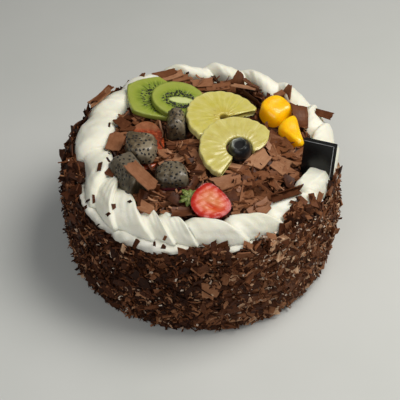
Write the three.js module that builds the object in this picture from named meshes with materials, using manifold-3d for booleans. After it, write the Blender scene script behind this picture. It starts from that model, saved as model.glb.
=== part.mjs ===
// A whole round black forest cake: a cream-coated body with chocolate shavings pressed into
// its side, a piped rope border of cream, a bed of shavings inside the border, and fruit and
// a small card standing on top.
// Millimetres, +Z up. The origin is the middle of the flat underside, and -Y is the front.

import * as THREE from "three";
import { ParametricGeometry } from "three/addons/geometries/ParametricGeometry.js";
import { mergeVertices } from "three/addons/utils/BufferGeometryUtils.js";
import Module from "manifold-3d";

const wasm = await Module();
wasm.setup();

// ---------------------------------------------------------------- driving dimensions

const GAP = 0.3; // air left between neighbouring solids

const BASE_RADIUS = 104;
const BODY_RADIUS = 107.5; // at half height
const BODY_HEIGHT = 88;
const RIGHT_BULGE = 3; // how much further out the right-hand side swells
const SHOULDER_ROUND = 5;

const BORDER_CENTRE = new THREE.Vector2(4.5, 4.5); // the piping sits a little to the back right
const BORDER_OUTER_RADIUS = 104;
const BORDER_SIDE_REACH = 3.5; // how much further out the rope reaches at the left and the right
const BORDER_WIDTH = { everywhere: 21, addedAtLeft: 10 };
const BORDER_SKEW = { front: 0.42, back: 0.12 }; // how far the crest leans inwards
const BORDER_TAIL = 3; // how far out a strand's end reaches over the crease beside it
const BORDER_DENT = { at: -166, spread: 12, depth: 8 }; // where shavings push the rope inwards
const BORDER_SWELL = { at: -129, spread: 12, depth: -4 }; // where it was squeezed out wider
const CUT_STRAND = { index: 8, height: 14.5 }; // the tall strand whose top was cut off flat
const BORDER_UNDERCUT = 5; // at the back right, where the rope hangs over the cake's shoulder

// Strands of the border: the angle round the cake of the crease where each begins, at the
// inner and at the outer edge, how far its head reaches inwards, and its height.
const STRANDS = [
  [-180, -171, 4, 14.5], [-160, -143, 5, 14], [-150.5, -127, 8, 13.5], [-131, -110.5, 8, 13],
  [-118, -102, 4, 13.5], [-104.5, -92.5, 9, 15], [-85.5, -71, 9.5, 15], [-66.5, -53.5, 8.5, 14.5],
  [-41, -31, 6, 19], [-21, -12, 5, 15], [-7, 3, 6, 15], [8, 18, 6, 16],
  [21.5, 32.5, 7, 17], [44, 55, 7, 18], [63.5, 75, 7, 18.5], [82, 94, 7, 19],
  [102, 114, 4, 18], [124, 136, 4, 16.5], [148, 159, 3, 15.5],
];

const BED_TOP = 95;
const BED_DOME = 1.2;
const BED_MARGIN = 1.6; // between the bed's edge and the border's inner edge

const SIDE_FLAKES = { columns: 25, rows: 5, seed: 7 };
const BED_FLAKES = { rings: 6, spacing: 15, seed: 22 };
const FLAKE_THICKNESS = 1.3;

// ---------------------------------------------------------------- small helpers

const radians = THREE.MathUtils.degToRad;
const lerp = THREE.MathUtils.lerp;
const clamp = THREE.MathUtils.clamp;

// A repeatable stream of numbers from 0 to 1.
function randomStream(seed) {
  let state = seed >>> 0;
  return () => {
    state = (state + 0x6d2b79f5) >>> 0;
    let t = Math.imul(state ^ (state >>> 15), 1 | state);
    t = (t + Math.imul(t ^ (t >>> 7), 61 | t)) ^ t;
    return ((t ^ (t >>> 14)) >>> 0) / 4294967296;
  };
}

const between = (random, low, high) => low + (high - low) * random();

// Turns a closed three.js geometry into a solid that can be joined and cut.
function solidOf(geometry) {
  const bare = geometry.clone();
  bare.deleteAttribute("normal");
  bare.deleteAttribute("uv");
  const merged = mergeVertices(bare, 1e-4);
  return new wasm.Manifold(
    new wasm.Mesh({
      numProp: 3,
      vertProperties: merged.getAttribute("position").array,
      triVerts: new Uint32Array(merged.index.array),
    }),
  );
}

// Turns a solid back into a three.js geometry.
function geometryOf(solid) {
  const mesh = solid.getMesh();
  const geometry = new THREE.BufferGeometry();
  geometry.setAttribute("position", new THREE.BufferAttribute(mesh.vertProperties, 3));
  geometry.setIndex(new THREE.BufferAttribute(mesh.triVerts, 1));
  geometry.computeVertexNormals();
  return geometry;
}

// The biggest connected piece of a solid: loose scraps are dropped.
function largestPiece(solid) {
  return solid.decompose().reduce((best, piece) => (piece.volume() > best.volume() ? piece : best));
}

// Moves every vertex of a geometry by a function that changes the point in place.
function reshape(geometry, change) {
  const position = geometry.getAttribute("position");
  const point = new THREE.Vector3();
  for (let i = 0; i < position.count; i++) {
    point.fromBufferAttribute(position, i);
    change(point);
    position.setXYZ(i, point.x, point.y, point.z);
  }
  return geometry;
}

// The placing of a piece: position in millimetres and turns about X, Y and Z in degrees.
function placing(position, turns = [0, 0, 0]) {
  const euler = new THREE.Euler(...turns.map(radians));
  const matrix = new THREE.Matrix4().makeRotationFromEuler(euler);
  return matrix.setPosition(...position);
}

// A point at an angle round the cake.
function polar(radius, degrees, height, centre = new THREE.Vector2()) {
  const angle = radians(degrees);
  return [
    centre.x + radius * Math.cos(angle),
    centre.y + radius * Math.sin(angle),
    height,
  ];
}

// ---------------------------------------------------------------- cake body

// Radius of the cream coat, which bulges at half height and swells on the right-hand side.
function bodyRadius(x, y, height) {
  const toRight = Math.max(0, x / Math.max(Math.hypot(x, y), 1));
  const bulge = Math.sin(Math.PI * clamp(height / BODY_HEIGHT, 0, 0.9));
  return lerp(BASE_RADIUS, BODY_RADIUS, bulge) + RIGHT_BULGE * bulge * toRight ** 2;
}

function bodyCore() {
  const profile = [[0, 0], [0.985, 0], [1, 0.02], [1, 0.2], [1, 0.5], [1, 0.8], [1, 0.94]];
  const shoulder = 1 - SHOULDER_ROUND / BASE_RADIUS;
  profile.push([lerp(shoulder, 1, 0.65), 0.985], [shoulder, 1], [0, 1]);
  const points = profile.map(([share, rise]) => new THREE.Vector2(share, rise * BODY_HEIGHT));
  const turned = new THREE.LatheGeometry(points, 48).rotateX(Math.PI / 2);
  return solidOf(
    reshape(turned, (p) => {
      const radius = bodyRadius(p.x, p.y, p.z);
      p.x *= radius;
      p.y *= radius;
    }),
  );
}

// ---------------------------------------------------------------- chocolate flakes

// A flat flake with its middle at the origin, made bigger all round by grow.
function flakeSolid(length, width, grow = 0) {
  const box = new THREE.BoxGeometry(length + 2 * grow, width + 2 * grow, FLAKE_THICKNESS + 2 * grow);
  return solidOf(box);
}

// A curled flake: an arc-shaped strip, width wide, with its middle at the origin.
function curledFlake(length, width, bend, grow = 0) {
  const sweep = radians(bend);
  const radius = length / sweep;
  const half = FLAKE_THICKNESS / 2 + grow;
  const outline = new THREE.Shape();
  const edge = sweep / 2 + grow / radius;
  outline.absarc(0, -radius, radius + half, Math.PI / 2 - edge, Math.PI / 2 + edge, false);
  outline.absarc(0, -radius, radius - half, Math.PI / 2 + edge, Math.PI / 2 - edge, true);
  const strip = new THREE.ExtrudeGeometry(outline, {
    depth: width + 2 * grow,
    bevelEnabled: false,
    curveSegments: 3,
  });
  return solidOf(strip.translate(0, 0, -width / 2 - grow).rotateX(Math.PI / 2));
}

// Adds the flakes that stay clear of the blockers to a core, as one solid.
function fuseFlakes(core, flakes, blockers) {
  const kept = flakes.filter(({ make, place }) => {
    const grown = make(GAP).transform(place.elements);
    return grown.intersect(blockers).volume() === 0;
  });
  const solids = kept.map(({ make, place }) => make(0).transform(place.elements));
  return largestPiece(wasm.Manifold.union([core, ...solids]));
}

// Shavings pressed flat into the side: rows of flakes with jittered places and spins.
function sideFlakes() {
  const { columns, rows, seed } = SIDE_FLAKES;
  const random = randomStream(seed);
  const flakes = [];
  for (let row = 0; row < rows; row++) {
    for (let column = 0; column < columns; column++) {
      const degrees = ((column + row / 2 + between(random, -0.35, 0.35)) / columns) * 360;
      const length = between(random, 9, 17);
      const width = between(random, 4, 7.5);
      const lowest = length / 2 + 1;
      const height = clamp(
        ((row + 0.5 + between(random, -0.4, 0.4)) / rows) * BODY_HEIGHT,
        lowest,
        BODY_HEIGHT - 1,
      );
      const spin = between(random, -180, 180);
      const lift = between(random, 8, 32);
      const [x, y, z] = polar(1, degrees, height);
      const out = bodyRadius(x, y, z) + (width / 2) * Math.sin(radians(lift)) * 0.85;
      const place = new THREE.Matrix4()
        .makeRotationZ(radians(degrees))
        .multiply(new THREE.Matrix4().makeRotationY(Math.PI / 2))
        .multiply(new THREE.Matrix4().makeRotationZ(radians(spin)))
        .multiply(new THREE.Matrix4().makeRotationX(radians(lift)))
        .setPosition(x * out, y * out, z);
      flakes.push({ make: (grow) => flakeSolid(length, width, grow), place });
    }
  }
  return flakes;
}

// Shavings lying on the bed: rings of flakes with jittered places, spins and small tilts.
function bedFlakes() {
  const { rings, spacing, seed } = BED_FLAKES;
  const random = randomStream(seed);
  const flakes = [];
  for (let ring = 0; ring < rings; ring++) {
    const share = (ring + 0.6) / rings;
    const count = Math.round((2 * Math.PI * share * borderInner(0)) / spacing);
    for (let i = 0; i < count; i++) {
      const degrees = ((i + between(random, -0.3, 0.3)) / count) * 360;
      const length = between(random, 11, 20);
      const width = between(random, 6, 11);
      const lean = between(random, 6, 24);
      const height = BED_TOP + BED_DOME * (1 - share) + (width / 2) * Math.sin(radians(lean)) * 0.8;
      const bend = between(random, 20, 90);
      const curled = random() < 0.25;
      const place = new THREE.Matrix4()
        .makeRotationZ(radians(between(random, 0, 360)))
        .multiply(new THREE.Matrix4().makeRotationX(radians(lean)))
        .setPosition(...polar(share * borderInner(degrees), degrees, height, BORDER_CENTRE));
      flakes.push({
        make: (grow) =>
          curled ? curledFlake(length, width, bend, grow) : flakeSolid(length, width, grow),
        place,
      });
    }
  }
  return flakes;
}

// The largest flakes, each with its own place: [length, width, bend, position, turns].
const LARGE_FLAKES = [
  [22, 13, 0, [53, -27, 98.5], [10, -8, 40]], // broad plate beside the berry
  [20, 12, 0, [-44, -47, 97.5], [14, 6, 10]], // plate in front of the dark cubes
  [26, 10, 40, [-37, -30, 102], [0, 24, -52]], // long plate between two cubes
  [30, 7, 60, [56, -58, 98.5], [0, 0, 27]], // long roll at the front right
  [18, 8, 0, [71, -31, 98.5], [12, 10, -28]],
  [17, 11, 50, [66, -13, 98], [16, 0, -35]],
  [24, 8, 0, [36, 70, 99], [14, 8, -18]], // flakes leaning at the back
  [20, 7, 0, [2, 73, 98], [14, -6, 6]],
  [16, 6, 0, [44, 56, 98.5], [-20, 10, -42]],
  [15, 10, 40, [-66, 2, 97.5], [-10, -10, 70]],
];

// Flakes that stand up out of the bed: [length, width, position, turns].
const STANDING_FLAKES = [
  [20, 9, [69, 54, 103], [80, 0, 60]],
  [17, 8, [36, 74, 102], [75, 0, 20]],
  [20, 13, [77, 33, 103], [84, 0, 75]],
];

function namedFlakes() {
  const large = LARGE_FLAKES.map(([length, width, bend, position, turns]) => ({
    make: (grow) =>
      bend > 0 ? curledFlake(length, width, bend, grow) : flakeSolid(length, width, grow),
    place: placing(position, turns),
  }));
  const standing = STANDING_FLAKES.map(([length, width, position, [lean, roll, face]]) => {
    const place = new THREE.Matrix4()
      .makeRotationZ(radians(face))
      .multiply(new THREE.Matrix4().makeRotationX(radians(lean)))
      .multiply(new THREE.Matrix4().makeRotationZ(radians(roll + 90)))
      .setPosition(...position);
    return { make: (grow) => flakeSolid(length, width, grow), place };
  });
  return [...large, ...standing];
}

// The bed under the loose flakes: a shallow dome that fills the border up to its inner edge.
function bedCore() {
  const floor = BODY_HEIGHT + GAP;
  const profile = [
    new THREE.Vector2(0, floor),
    new THREE.Vector2(1, floor),
    new THREE.Vector2(1, BED_TOP),
    new THREE.Vector2(0.5, BED_TOP + BED_DOME * 0.75),
    new THREE.Vector2(0, BED_TOP + BED_DOME),
  ];
  const turned = new THREE.LatheGeometry(profile, 40).rotateX(Math.PI / 2);
  return solidOf(
    reshape(turned, (p) => {
      const radius = borderInner(THREE.MathUtils.radToDeg(Math.atan2(p.y, p.x))) - BED_MARGIN;
      p.x = p.x * radius + BORDER_CENTRE.x;
      p.y = p.y * radius + BORDER_CENTRE.y;
    }),
  );
}

// ---------------------------------------------------------------- cream border

// Radius of the border's inner foot about its own centre.
function borderInner(degrees) {
  const toLeft = Math.max(0, -Math.cos(radians(degrees)));
  const width = BORDER_WIDTH.everywhere + BORDER_WIDTH.addedAtLeft * toLeft ** 2;
  return BORDER_OUTER_RADIUS - width;
}

// Height of a strand across its width, 0 at the creases: a rise to the crest, then a drop.
function strandRise(across, crest, inward) {
  const quick = lerp(0.15, 0.6, inward ** 1.5);
  const rising =
    quick * clamp(across / 0.2, 0, 1) ** 0.6 + (1 - quick) * clamp(across / crest, 0, 1);
  const falling = clamp((1 - across) / (1 - crest), 0, 1) ** 0.7;
  return -0.1 * Math.log(Math.exp(-rising / 0.1) + Math.exp(-falling / 0.1));
}

// How far a dent moves the border's outer edge inwards at an angle round the cake.
function pressedIn(degrees, { at, spread, depth }) {
  const away = (THREE.MathUtils.euclideanModulo(degrees - at + 180, 360) - 180) / spread;
  return depth * Math.exp(-(away ** 2));
}

// A point on the border: strand number, share across it, and angle over the section, which
// goes from 0 at the outer foot over the crest to 180 at the inner foot.
function borderPoint(index, across, sectionDegrees, grow, target) {
  const turnOf = (i) => Math.floor(i / STRANDS.length) * 360;
  const [innerStart, outerStart, head, height] = STRANDS[index % STRANDS.length];
  const [innerEnd, outerEnd] = STRANDS[(index + 1) % STRANDS.length];
  const inward = sectionDegrees / 180;
  const start = lerp(outerStart, innerStart, inward) + turnOf(index);
  const end = lerp(outerEnd, innerEnd, inward) + turnOf(index + 1);
  const degrees = lerp(start, end, across);
  const turn = radians(degrees);

  const crest = lerp(lerp(0.9, 0.66, Math.max(0, Math.sin(turn))), 0.74, inward);
  const groove = lerp(0.22, 0.5, inward ** 1.3);
  const fullness = 1 - groove * (1 - strandRise(across, crest, inward));
  const bulge = Math.sin(Math.PI * across ** 0.6) ** 0.8;
  const tail = clamp(across / crest, 0, 1) * clamp(((1 - across) / (1 - crest)) * 2, 0, 1);

  const lift = Math.max(0, Math.sin(radians(sectionDegrees)));
  const overhang = sectionDegrees < 90 ? Math.max(0, Math.cos(turn - Math.PI / 4)) : 0;
  const outer =
    BORDER_OUTER_RADIUS +
    BORDER_SIDE_REACH * Math.cos(turn) ** 2 -
    pressedIn(degrees, BORDER_DENT) -
    pressedIn(degrees, BORDER_SWELL) -
    BORDER_TAIL * (1 - tail) -
    BORDER_UNDERCUT * overhang * (1 - lift) ** 2 +
    grow;
  const inner = borderInner(degrees) + head * (1 - bulge) - grow;
  const share = (1 - Math.cos(radians(sectionDegrees))) / 2;
  const skew = lerp(BORDER_SKEW.front, BORDER_SKEW.back, (1 + Math.sin(turn)) / 2);
  const radius = lerp(outer, inner, share) - (skew * lift * (outer - inner)) / 2;
  const power = lerp(lerp(0.7, 1.15, Math.max(0, -Math.sin(turn))), 0.8, inward);
  const floor = BODY_HEIGHT + GAP - grow;
  let rise = (height + 2 * grow) * fullness * lift ** power;
  if (index === CUT_STRAND.index) rise = Math.min(rise, CUT_STRAND.height + 2 * grow);
  target.set(...polar(radius, degrees, floor + rise, BORDER_CENTRE));
}

// The rope of strands as one ring, flat where it sits on the body.
function borderSolid(grow = 0) {
  const acrossSteps = [0, 0.12, 0.35, 0.62, 0.84, 0.95];
  const sectionSteps = [0, 14, 36, 60, 85, 110, 135, 158, 180];
  const columns = STRANDS.length * acrossSteps.length;
  const rows = sectionSteps.length;
  const surface = new ParametricGeometry(
    (u, v, target) => {
      const column = Math.round(u * columns);
      const strand = Math.floor(column / acrossSteps.length);
      const section = sectionSteps[Math.round(v * rows) % rows];
      borderPoint(strand, acrossSteps[column % acrossSteps.length], section, grow, target);
    },
    columns,
    rows,
  );
  return solidOf(surface);
}

// ---------------------------------------------------------------- toppings

// How much of the full reach a five-sided outline has, by direction; facets is 0 for a round one.
function fiveSided(x, y, facets) {
  const turn = THREE.MathUtils.radToDeg(Math.atan2(y, x)) - FIRST_CORNER;
  const fromEdge = THREE.MathUtils.euclideanModulo(turn, 72) - 36;
  return 1 - facets * (1 - Math.cos(radians(36)) / Math.cos(radians(fromEdge)));
}

// A slice with rounded edges, its top face at Z = 0.
function sliceSolid({ width, depth, thickness, edge, facets = 0 }, grow = 0) {
  const low = -thickness - grow;
  const profile = [
    new THREE.Vector2(0, low),
    new THREE.Vector2(1 - edge, low),
    new THREE.Vector2(1, low * 0.7),
    new THREE.Vector2(1, low * 0.25 + grow),
    new THREE.Vector2(1 - edge, grow),
    new THREE.Vector2(0, grow),
  ];
  const turned = new THREE.LatheGeometry(profile, 22).rotateX(Math.PI / 2);
  return solidOf(
    reshape(turned, (p) => {
      const share = Math.hypot(p.x, p.y) < 1e-6 ? 1 : fiveSided(p.x, p.y, facets);
      p.x *= (width / 2) * share + grow * 1.2;
      p.y *= (depth / 2) * share + grow * 1.2;
    }),
  );
}

// A piece of a fruit ring, its top face at Z = 0. Angles in degrees; the cut ends may slant.
function ringPieceSolid({ outer, inner, thickness, outerSpan, innerSpan }, grow = 0) {
  const [outerStart, outerEnd] = outerSpan.map(radians);
  const [innerStart, innerEnd] = innerSpan.map(radians);
  const bevel = 1.2;
  const outline = new THREE.Shape();
  outline.absarc(0, 0, outer - bevel, outerStart, outerEnd, false);
  outline.absarc(0, 0, inner + bevel, innerEnd, innerStart, true);
  const ring = new THREE.ExtrudeGeometry(outline, {
    depth: thickness - 2 * bevel,
    bevelThickness: bevel + grow,
    bevelSize: bevel,
    bevelOffset: grow,
    bevelSegments: 1,
    curveSegments: 13,
  });
  return solidOf(ring.translate(0, 0, bevel - thickness));
}

// A rounded block centred at the origin: a box with further faces cut on it, each given by
// azimuth, elevation and distance. A small power makes it round, a large one sharp. It grows
// by half as much again as asked, because the air left beside a facet is thinner than that.
function chunkSolid({ size, cuts = [], power = 8, columns = 14, rows = 9 }, grow = 0) {
  const planes = cuts.map(([azimuth, elevation, distance]) => {
    const flat = Math.cos(radians(elevation));
    const normal = new THREE.Vector3(
      flat * Math.cos(radians(azimuth)),
      flat * Math.sin(radians(azimuth)),
      Math.sin(radians(elevation)),
    );
    return [normal, distance];
  });
  size.forEach((whole, axis) => {
    for (const side of [1, -1]) {
      planes.push([new THREE.Vector3().setComponent(axis, side), whole / 2]);
    }
  });
  const sphere = new THREE.SphereGeometry(1, columns, rows).rotateX(Math.PI / 2);
  return solidOf(
    reshape(sphere, (p) => {
      p.normalize();
      const sum = planes.reduce(
        (total, [normal, distance]) =>
          total + Math.max(0, p.dot(normal) / (distance + 1.5 * grow)) ** power,
        0,
      );
      p.multiplyScalar(sum ** (-1 / power));
    }),
  );
}

// A round berry with a dimpled crown, centred at the origin with the crown at +Z.
function berrySolid({ radius, crownRadius, crownDepth }, grow = 0) {
  const steps = 8;
  const reach = radius + grow;
  const crownAngle = Math.asin(crownRadius / radius);
  const profile = [new THREE.Vector2(0, -reach)];
  for (let i = 1; i <= steps; i++) {
    const angle = lerp(-Math.PI / 2, Math.PI / 2 - crownAngle, i / steps);
    profile.push(new THREE.Vector2(reach * Math.cos(angle), reach * Math.sin(angle)));
  }
  const floor = reach * Math.cos(crownAngle) - crownDepth;
  profile.push(new THREE.Vector2(crownRadius * 0.5, floor), new THREE.Vector2(0, floor));
  return solidOf(new THREE.LatheGeometry(profile, 14).rotateX(Math.PI / 2));
}

// Distance of the strawberry's outline from its middle, by direction in degrees.
const STRAWBERRY_OUTLINE = [
  [-180, 14], [-150, 15.4], [-120, 15.5], [-90, 14.5], [-60, 14.4], [-30, 15.2], [0, 16.2],
  [30, 13.2], [60, 11.7], [90, 13.2], [115, 16.2], [130, 15.4], [150, 13.9], [180, 14],
];

function strawberryReach(x, y) {
  const degrees = clamp(THREE.MathUtils.radToDeg(Math.atan2(y, x)), -180, 180);
  const next = Math.max(1, STRAWBERRY_OUTLINE.findIndex(([at]) => at >= degrees));
  const [low, reachLow] = STRAWBERRY_OUTLINE[next - 1];
  const [high, reachHigh] = STRAWBERRY_OUTLINE[next];
  return lerp(reachLow, reachHigh, (degrees - low) / (high - low));
}

// Half a strawberry: the cut face is at Z = 0, the round back below, the stalk end at -X.
function strawberryHalfSolid({ depth }, grow = 0) {
  const sphere = new THREE.SphereGeometry(1, 22, 8).rotateX(Math.PI / 2);
  return solidOf(
    reshape(sphere, (p) => {
      const reach = strawberryReach(p.x, p.y) + 1.5 * grow;
      p.x *= reach;
      p.y *= reach;
      p.z = p.z > 1e-6 ? grow : p.z * (depth + grow);
    }),
  );
}

// A thin wavy leaf from the origin out along +X.
function leafSolid(length, width, thickness) {
  const box = new THREE.BoxGeometry(length, width, thickness, 3, 2, 1);
  return solidOf(
    reshape(box, (p) => {
      const along = clamp(p.x / length + 0.5, 0, 1);
      p.x = along * length;
      p.y *= 0.25 + 0.9 * Math.sin(Math.PI * (0.15 + 0.8 * along));
      p.z += 1.3 * Math.sin(along * 4.2) + 0.35 * Math.abs(p.y);
    }),
  );
}

// The leaves round a strawberry's stalk end, with a small hub that joins them.
function calyxSolid({ leaves, length, width, thickness, hub }) {
  const parts = [solidOf(new THREE.SphereGeometry(hub, 6, 4))];
  for (let i = 0; i < leaves; i++) {
    const turn = new THREE.Matrix4().makeRotationZ(radians(52 * i - 78));
    const reach = length * (1 - 0.12 * (i % 2));
    parts.push(leafSolid(reach, width, thickness).transform(turn.elements));
  }
  return largestPiece(wasm.Manifold.union(parts));
}

function cardSolid({ width, height, thickness }, grow = 0) {
  const card = new THREE.BoxGeometry(width + 2 * grow, thickness + 2 * grow, height + 2 * grow);
  return solidOf(card.translate(width / 2, 0, height / 2));
}

const FIRST_CORNER = 83; // direction of one corner of the faceted kiwi slice
const KIWI = { thickness: 5, edge: 0.04 };
const PINEAPPLE = { thickness: 6.5 };

const MANGO = { shape: chunkSolid, colour: "#e3a51a", roughness: 0.25 };
const DRAGONFRUIT = { shape: chunkSolid, colour: "#6e6657", roughness: 0.45 };

const TOPPINGS = [
  {
    name: "kiwi_slice_back",
    shape: sliceSolid,
    size: { ...KIWI, width: 50, depth: 51, facets: 0.4 },
    position: [-37.2, 57.5, 103.5],
    turns: [6, 9, 0],
    colour: "#8f9f3c",
    roughness: 0.35,
  },
  {
    name: "kiwi_slice_front",
    shape: sliceSolid,
    size: { ...KIWI, width: 45, depth: 40 },
    position: [-17, 52.9, 105.3],
    turns: [6, 9, 0],
    colour: "#93a83a",
    roughness: 0.35,
  },
  {
    name: "pineapple_ring_back",
    shape: ringPieceSolid,
    size: { ...PINEAPPLE, outer: 31, inner: 3.5, outerSpan: [24, 232], innerSpan: [24, 232] },
    position: [20, 29, 105.2],
    turns: [5, 8, 0],
    colour: "#cdbd62",
    roughness: 0.35,
  },
  {
    name: "pineapple_ring_front",
    shape: ringPieceSolid,
    size: { ...PINEAPPLE, outer: 31.5, inner: 10.2, outerSpan: [35, 241], innerSpan: [-12, 243] },
    position: [31, -9.9, 106.5],
    turns: [11, 5, 0],
    colour: "#cdbd62",
    roughness: 0.35,
  },
  {
    ...MANGO,
    name: "mango_chunk_back",
    size: {
      size: [29.5, 27, 16],
      cuts: [[-140, 10, 11.5], [140, 5, 12], [-45, 15, 11.5], [45, 5, 13], [-90, 50, 10]],
      power: 5.5,
    },
    position: [61.8, 40, 101.6],
    turns: [13, 0, -5],
  },
  {
    ...MANGO,
    name: "mango_chunk_front",
    size: {
      size: [18, 31, 12],
      cuts: [[-147, 5, 5.6], [122, 5, 10.2], [0, 45, 8.5], [180, 50, 7]],
    },
    position: [71.9, 14.2, 100.4],
    turns: [13, 0, 10],
  },
  {
    name: "blueberry",
    shape: berrySolid,
    size: { radius: 9.2, crownRadius: 5.2, crownDepth: 1.5 },
    position: [31.4, -11, 105.1],
    turns: [14, -8, 0],
    colour: "#14171f",
    roughness: 0.35,
  },
  {
    name: "strawberry_half",
    shape: strawberryHalfSolid,
    size: { depth: 11 },
    position: [8.5, -68, 104.5],
    turns: [16, 6, -18],
    colour: "#cf4a33",
    roughness: 0.3,
  },
  {
    name: "strawberry_slice",
    shape: sliceSolid,
    size: { width: 30, depth: 53, thickness: 4, edge: 0.1 },
    position: [-43, 3.5, 98],
    turns: [5, 0, 0],
    colour: "#9c4a30",
    roughness: 0.3,
  },
  {
    ...DRAGONFRUIT,
    name: "dragonfruit_1",
    size: { size: [25, 24, 13.4], cuts: [[-90, 45, 9.5], [-145, 15, 10.5], [15, 40, 11.5], [-35, 25, 12.5]] },
    position: [-45.5, -9.4, 105.6],
    turns: [5, 2, -4],
  },
  {
    ...DRAGONFRUIT,
    name: "dragonfruit_2",
    size: { size: [20, 37, 17], cuts: [[180, 28, 7.2], [90, 30, 16]], power: 11 },
    position: [-54.8, -34.8, 102.3],
    turns: [0, 0, 30],
  },
  {
    ...DRAGONFRUIT,
    name: "dragonfruit_3",
    size: { size: [26, 20, 13.6], cuts: [[-90, 42, 9.2], [20, 30, 12.2], [160, 35, 11]] },
    position: [-21.4, -36.2, 100.8],
    turns: [4, 0, 4],
  },
  {
    ...DRAGONFRUIT,
    name: "dragonfruit_4",
    size: { size: [14.5, 19, 21.5], cuts: [[-90, 55, 10.8], [180, 45, 9.2], [0, 35, 9]] },
    position: [-18.6, 18.4, 106.2],
    turns: [3, 0, 0],
  },
  {
    name: "plaque",
    shape: cardSolid,
    size: { width: 25.5, height: 33, thickness: 1.2 },
    position: [77.7, -27.2, 94],
    turns: [-10, 3, -20],
    colour: "#0c0c0d",
    roughness: 0.3,
  },
];

const CALYX = { leaves: 4, length: 10, width: 5, thickness: 0.8, hub: 1.8 };
const CALYX_POSITION = [-6.6, -62.2, 102.4];
const CALYX_TURNS = [10, 0, 150];

// ---------------------------------------------------------------- assembly

const cake = new THREE.Group();

function addMesh(name, geometry, colour, roughness) {
  const material = new THREE.MeshStandardMaterial({ color: colour, roughness, metalness: 0 });
  const mesh = new THREE.Mesh(geometry, material);
  mesh.name = name;
  cake.add(mesh);
  return mesh;
}

const placedToppings = TOPPINGS.map((topping) => ({
  ...topping,
  place: placing(topping.position, topping.turns),
}));
const calyxPlace = placing(CALYX_POSITION, CALYX_TURNS);

for (const { name, shape, size, place, colour, roughness } of placedToppings) {
  const mesh = addMesh(name, geometryOf(shape(size)), colour, roughness);
  mesh.applyMatrix4(place);
}
addMesh("strawberry_calyx", geometryOf(calyxSolid(CALYX)), "#5f6b2c", 0.6).applyMatrix4(calyxPlace);

const toppingRoom = wasm.Manifold.union([
  ...placedToppings.map(({ shape, size, place }) => shape(size, GAP).transform(place.elements)),
  calyxSolid({ ...CALYX, thickness: CALYX.thickness + 2 * GAP }).transform(calyxPlace.elements),
]);

const border = largestPiece(borderSolid().subtract(toppingRoom));
addMesh("cream_border", geometryOf(border), "#e9e9dd", 0.55);

const bed = bedCore().subtract(toppingRoom);
const bedBlockers = toppingRoom.add(borderSolid(GAP));
const heap = fuseFlakes(bed, [...namedFlakes(), ...bedFlakes()], bedBlockers);
addMesh("top_shavings", geometryOf(heap), "#6e4630", 0.55);

const body = fuseFlakes(bodyCore(), sideFlakes(), bedBlockers);
addMesh("cake_body", geometryOf(body), "#4d3123", 0.6);

export default cake;
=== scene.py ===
"""Looks of a round black forest cake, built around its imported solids.

Lengths are in millimetres in the cake's own frame (+Z up, -Y the front) and become metres
where a mesh is made. Angles are in degrees.
"""

import math

import bpy
import numpy as np
from mathutils import Matrix, Vector
from mathutils.bvhtree import BVHTree


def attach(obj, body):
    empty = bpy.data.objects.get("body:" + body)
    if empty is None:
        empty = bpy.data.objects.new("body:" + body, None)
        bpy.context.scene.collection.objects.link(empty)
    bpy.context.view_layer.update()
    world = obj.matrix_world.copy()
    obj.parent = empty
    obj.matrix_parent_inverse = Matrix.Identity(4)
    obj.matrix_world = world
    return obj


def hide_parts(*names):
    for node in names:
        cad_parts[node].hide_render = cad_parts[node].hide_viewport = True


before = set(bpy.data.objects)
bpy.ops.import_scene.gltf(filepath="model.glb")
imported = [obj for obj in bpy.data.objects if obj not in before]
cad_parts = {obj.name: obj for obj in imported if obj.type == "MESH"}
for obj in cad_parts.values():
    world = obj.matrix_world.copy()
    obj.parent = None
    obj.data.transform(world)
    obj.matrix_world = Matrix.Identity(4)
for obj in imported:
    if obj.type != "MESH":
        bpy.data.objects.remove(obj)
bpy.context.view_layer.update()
MM = 0.001

# ------------------------------------------------------------------ driving dimensions

BASE_RADIUS = 104
BODY_RADIUS = 107.5
BODY_HEIGHT = 88
RIGHT_BULGE = 3
SHOULDER_ROUND = 5
COAT_SINK = 1.2  # how far the coat lies inside its nominal outside, under the shavings
COAT_SIDE_ROWS = (80, 61)  # how far the rows of the plain side go, and how many there are
COAT_TOP_ROWS = (81, 104, 34)  # where the closer rows over the shoulder begin, and the same
COAT_COLUMNS = 420

BORDER_CENTRE = np.array([4.5, 4.5])
BORDER_OUTER_RADIUS = 104
BORDER_SIDE_REACH = 3.5  # how much further out the rope reaches at the left and the right
BORDER_WIDTH = (21, 10)  # everywhere, and what is added at the far left
BORDER_BASE = 88
BORDER_SUNK = 1.5  # how far its feet sink below that
BORDER_DENTS = [(-166, 12, 8), (-129, 12, -4)]  # where its edge is pushed in or squeezed out
CUT_STRAND = (8, 14.5)  # the tall strand whose top was cut off flat, and its height there
FLUTES = (4, 0.16)  # fine ridges along each strand: how many, and how high
BORDER_SKEW = (0.42, 0.12)  # how far the crest leans inwards, at the front and at the back

# Strands of the rope of cream, counter-clockwise: the angle of the crease where each begins
# at the inner and at the outer edge, how far its head reaches inwards, and its height.
STRANDS = [
    (-180, -171, 4, 14.5), (-160, -143, 5, 14.0), (-150.5, -127, 8, 13.5),
    (-131, -110.5, 8, 13.0), (-118, -102, 4, 13.5), (-104.5, -92.5, 9, 15.0),
    (-85.5, -71, 9.5, 15.0), (-66.5, -53.5, 8.5, 14.5), (-41, -31, 6, 19.0),
    (-21, -12, 5, 15.0), (-7, 3, 6, 15.0), (8, 18, 6, 16.0), (21.5, 32.5, 7, 17.0),
    (44, 55, 7, 18.0), (63.5, 75, 7, 18.5), (82, 94, 7, 19.0), (102, 114, 4, 18.0),
    (124, 136, 4, 16.5), (148, 159, 3, 15.5),
]

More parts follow.
